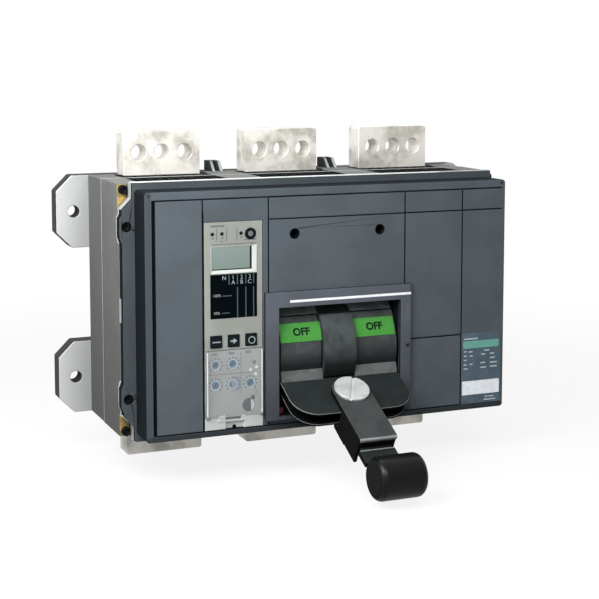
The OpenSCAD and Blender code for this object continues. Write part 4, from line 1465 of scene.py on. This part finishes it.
    def dial_scales(self) -> None:
        """Prints the dials' scales and their panel's lines, and paints shade in the dials' slots."""
        slot = Slot.TRIP_UNIT
        y = thin(self.front_y, LABEL_OUT)
        (inner, outer), half = self.tick_r, self.tick_half
        edges = ((inner, half), (outer, half), (outer, -half), (inner, -half))
        ticks, halo = Sketch(), Sketch()
        for body, x, z in zip(DIALS, self.dial_x, self.dial_z):
            for c, s in turns(*self.tick_angles, 8):
                ticks.prism([(x + r * c + h * s, z + r * s - h * c) for r, h in edges], *y)
            halo.band(circle(x, z, self.halo_r, 32), *self.halo_reach, *y)
            # painted shade standing for each dial's slot
            groove = Sketch()
            groove.prism([(x + dx, z + dz) for dx, dz in self.slot_shade_outline], *thin(self.dial_face_y))
            groove.piece(f"{body.value}_slot", GAP_SHADE, slot, body)
        ticks.piece("dial_ticks", SLATE_INK, slot)
        halo.piece("dial_rings", HALO_INK, slot)
        lines = Sketch()
        lines.boxes(y, marks(self.dial_marks))
        lines.turned(self.button, facing(*self.dial_button, self.front_y), 20)
        lines.piece("dial_panel_lines", GREY_INK, slot)
        draw_boxes("dial_field", SHADE_INK, slot, thin(self.front_y, 0.04), [self.dial_field])

    def flap_edges(self) -> None:
        """Paints highlight on the flap's edges and three dimple glints under it, and a shadow over it."""
        x0, x1 = self.flap_x
        low, top = self.flap_z
        draw_boxes("flap_edges", FLAP_GLINT_INK, Slot.CLEAR, thin(self.flap_y, 0.02, 1.0),
                   [(x, x + self.flap_edge_w, low, top) for x in (x0, x1 - 1.1)], Body.FLAP, edge=0.2)
        draw_boxes("flap_shadow_line", GREY_INK, Slot.TRIP_UNIT, thin(self.front_y, LABEL_OUT),
                   [(x0, x1, *(top + up for up in self.flap_shadow))])
        glints = Sketch()
        for x, z in self.glint_spots:
            glints.turned(self.dimple, facing(x, z, self.front_y), 16)
        glints.piece("flap_glint_spots", FLAP_GLINT_INK, Slot.TRIP_UNIT)

    def plug_face(self) -> None:
        """Draws the plug's raised half and the small screw over it."""
        (x, z), r = self.plug_at, self.plug_r
        half = Sketch()
        half.prism([(x + r * c, z + r * s) for c, s in turns(*self.plug_half, 16)], *self.plug_y)
        half.piece("plug_raised_half", CLIP_PLASTIC, Slot.TRIP_UNIT, edge=0.15)
        screw = Sketch()
        screw.turned(self.plug_screw, facing(*self.plug_screw_at, self.front_y), 20)
        screw.piece("plug_screw", PLUG_PLASTIC, Slot.TRIP_UNIT)

    def clip_ears(self) -> None:
        """Draws the two clips' ears, the bright edge of the tab between them and painted shade for its hole.
        """
        face = self.front_y
        ears = Sketch()
        for outline in self.ears:
            ears.prism(outline, *thin(face, 0.9, 0.2))
        ears.boxes(thin(face, 0.5, 0.2), [self.tab_edge])
        ears.piece("clip_ears", CLIP_PLASTIC, Slot.TRIP_UNIT, edge=0.25)
        # painted shade standing for the tab's hole
        hole = Sketch()
        hole.turned([(1.7, -0.1), (1.7, 0.1), (0, 0.12)], facing(*self.tab_hole, face), 20)
        hole.piece("clip_hole", GAP_SHADE, Slot.TRIP_UNIT)


@dataclass
class Nameplate:
    """The film plate at the lower right, with its stripe, blank field and lines of print."""

    face_y: float = -160.4
    stripe: Box = (126.2, 162.8, -47.6, -41.0)
    field: Box = (125.6, 163.6, -90.0, -77.4)
    dashes_x: float = 127.0
    dashes: tuple[tuple[float, float, float], ...] = (
        (0, 14, -39.0), (0, 3, -50.4), (5, 9, -50.8), (21, 26, -50.4), (0, 3, -54.4), (6, 9, -54.6),
        (18, 22, -53.8), (27, 31, -53.6), (0, 3, -58.2), (27, 32, -57.6), (0, 3, -62.4), (6, 9, -62.2),
        (17, 22, -61.6), (27, 34, -61.8), (0, 4, -66.0), (17, 23, -65.8), (27, 34, -65.6),
        (22, 25, -92.8), (26, 31, -92.8), (21, 33, -95.6),
    )

    def build(self) -> None:
        """Builds the plate and its print."""
        slot, y = Slot.NAMEPLATE, thin(self.face_y)
        finished("nameplate", SLATE_FILM, slot, 0.15)
        dashes = [(self.dashes_x + x0, self.dashes_x + x1, *around(z, 0.55)) for x0, x1, z in self.dashes]
        draw_boxes("nameplate_stripe", STRIPE_INK, slot, y, [self.stripe])
        draw_boxes("nameplate_field", FIELD_INK, slot, y, [self.field])
        draw_boxes("nameplate_dashes", PRINT_INK, slot, y, dashes)


# ---------------------------------------------------------------------------------------------
# Studio
# ---------------------------------------------------------------------------------------------


@dataclass(frozen=True)
class Lamp:
    """One soft lamp aimed at a point.

    Args:
        name: what it is called.
        power: its power in watts.
        size: its width and height in metres.
        place: where it hangs.
        target: what it is aimed at.
    """

    name: str
    power: float
    size: tuple[float, float]
    place: Place
    target: Place = (0.0, -0.1, 0.0)

    def hang(self) -> None:
        """Hangs the lamp."""
        lamp = bpy.data.lights.new(self.name, "AREA")
        lamp.shape = "RECTANGLE"
        lamp.size, lamp.size_y = self.size
        lamp.energy = self.power
        holder = bpy.data.objects.new(self.name, lamp)
        bpy.context.scene.collection.objects.link(holder)
        holder.location = self.place
        holder.rotation_euler = (Vector(self.target) - Vector(self.place)).to_track_quat("-Z", "Y").to_euler()


@dataclass
class Studio:
    """The pale floor, the white surround, the lamps and the camera."""

    floor_z: float = -147.0
    floor_share: float = 0.86
    floor_gloss: float = 0.7
    floor_bounce: str = "#8f8f8f"
    floor_paint: str = "#f4f4f4"
    fade: Range = (0.35, 0.9)
    ambient: Range = (0.08, 0.4)
    ambient_up: Range = (-0.3, 1.0)
    room: Range = (1.0, 0.4)
    room_across: Range = (0.15, 0.6)
    behind: Range = (-0.45, -0.05)
    lamps: tuple[Lamp, ...] = (
        Lamp("key", 6.3, (0.4, 0.4), (-0.48, -0.45, 0.38)),
        Lamp("strip", 3.0, (0.4, 0.08), (-0.12, -0.8, 0.5), (0.02, -0.24, -0.06)),
        Lamp("overhead", 2.0, (0.8, 0.3), (0.0, 0.12, 0.8), (0.0, -0.05, 0.1)),
    )
    camera_place: Place = (-0.4871, -1.2509, 0.2106)
    camera_yaw: float = 22.64
    camera_pitch: float = 5.86
    lens: float = 84.84
    shift_y: float = -0.16

    def build(self) -> None:
        """Sets the stage."""
        self.view_settings()
        self.surround()
        self.floor()
        for lamp in self.lamps:
            lamp.hang()
        self.camera()

    def view_settings(self) -> None:
        """Shows colours as they are written."""
        bpy.context.scene.view_settings.view_transform = "Standard"

    def surround(self) -> None:
        """Gives white behind the breaker, a room before it that darkens to the right, and soft light."""
        world = bpy.data.worlds.new("surround")
        bpy.context.scene.world = world
        paint = Paint(fresh(world))
        path = paint.node("ShaderNodeLightPath").outputs
        sky = paint.node("ShaderNodeTexCoord").outputs["Generated"]
        way = paint.node("ShaderNodeSeparateXYZ", {"Vector": sky}).outputs
        soft = paint.rise(way["Z"], self.ambient_up, self.ambient)
        room = paint.rise(way["X"], self.room_across, self.room, smooth=True)
        mirrored_room = self.choose(paint, paint.rise(way["Y"], self.behind, smooth=True), room, 1.0)
        unseen = self.choose(paint, path["Is Glossy Ray"], soft, mirrored_room)
        seen = paint.compute("MAXIMUM", path["Is Camera Ray"], path["Is Transmission Ray"])
        strength = self.choose(paint, seen, unseen, 1.0)
        light = paint.node("ShaderNodeBackground", {"Color": (1, 1, 1, 1), "Strength": strength})
        paint.node("ShaderNodeOutputWorld", {"Surface": light.outputs["Background"]})

    def choose(self, paint: Paint, share: Socket, first: Socket, second: Socket | float) -> Socket:
        """Goes from one value to another by a share."""
        mixed = paint.node("ShaderNodeMix", {"Factor": share, "A": first, "B": second}, data_type="FLOAT")
        return mixed.outputs["Result"]

    def floor(self) -> None:
        """Lays a pale floor that keeps the breaker's soft shadow and fades into the surround."""
        sketch = Sketch()
        sketch.block((-6000, 6000), (-6000, 6000), (self.floor_z - 5, self.floor_z))
        bmesh.ops.scale(sketch.shape, vec=(MM, MM, MM), verts=sketch.shape.verts)
        mesh = bpy.data.meshes.new("floor")
        sketch.shape.to_mesh(mesh)
        sketch.shape.free()
        floor = bpy.data.objects.new("floor", mesh)
        bpy.context.scene.collection.objects.link(floor)
        material = bpy.data.materials.new("matt_white_floor")
        paint = Paint(fresh(material))
        path = paint.node("ShaderNodeLightPath").outputs
        mirrored_floor = paint.compute("MULTIPLY", path["Is Glossy Ray"], self.floor_gloss)
        seen = paint.compute("MAXIMUM", path["Is Camera Ray"], mirrored_floor)
        away = paint.node("ShaderNodeVectorMath", {0: paint.place()}, operation="LENGTH").outputs["Value"]
        far = paint.rise(away, self.fade, (self.floor_share, 1.0), smooth=True)
        tone = paint.mix(path["Is Camera Ray"], self.floor_bounce, self.floor_paint)
        matt = paint.node("ShaderNodeBsdfDiffuse", {"Color": tone})
        white = paint.node("ShaderNodeEmission", {"Color": (1, 1, 1, 1), "Strength": 1.0})
        mixed = paint.node("ShaderNodeMixShader", {
            0: paint.compute("MULTIPLY", seen, far), 1: matt.outputs["BSDF"], 2: white.outputs["Emission"],
        })
        paint.node("ShaderNodeOutputMaterial", {"Surface": mixed.outputs["Shader"]})
        mesh.materials.append(material)

    def camera(self) -> None:
        """Sets the camera at the front left, a little above the breaker, its lens shifted down."""
        lens = bpy.data.cameras.new("camera")
        lens.lens = self.lens
        lens.sensor_width = 36
        lens.shift_y = self.shift_y
        camera = bpy.data.objects.new("camera", lens)
        bpy.context.scene.collection.objects.link(camera)
        yaw, pitch = math.radians(self.camera_yaw), math.radians(self.camera_pitch)
        ahead = Vector((math.sin(yaw) * math.cos(pitch), math.cos(yaw) * math.cos(pitch), -math.sin(pitch)))
        camera.location = self.camera_place
        camera.rotation_euler = ahead.to_track_quat("-Z", "Y").to_euler()
        bpy.context.scene.camera = camera


def main() -> None:
    """Builds the stage and then the breaker, from its back to its front."""
    logging.basicConfig(level=logging.INFO, format="%(name)s: %(message)s")
    for assembly in (Studio(), Case(), Terminals(), Cover(), Escutcheon(), Drum(), Lever(), TripUnit(),
                     Nameplate()):
        log.info("building %s", type(assembly).__name__)
        assembly.build()


if __name__ == "__main__":
    main()
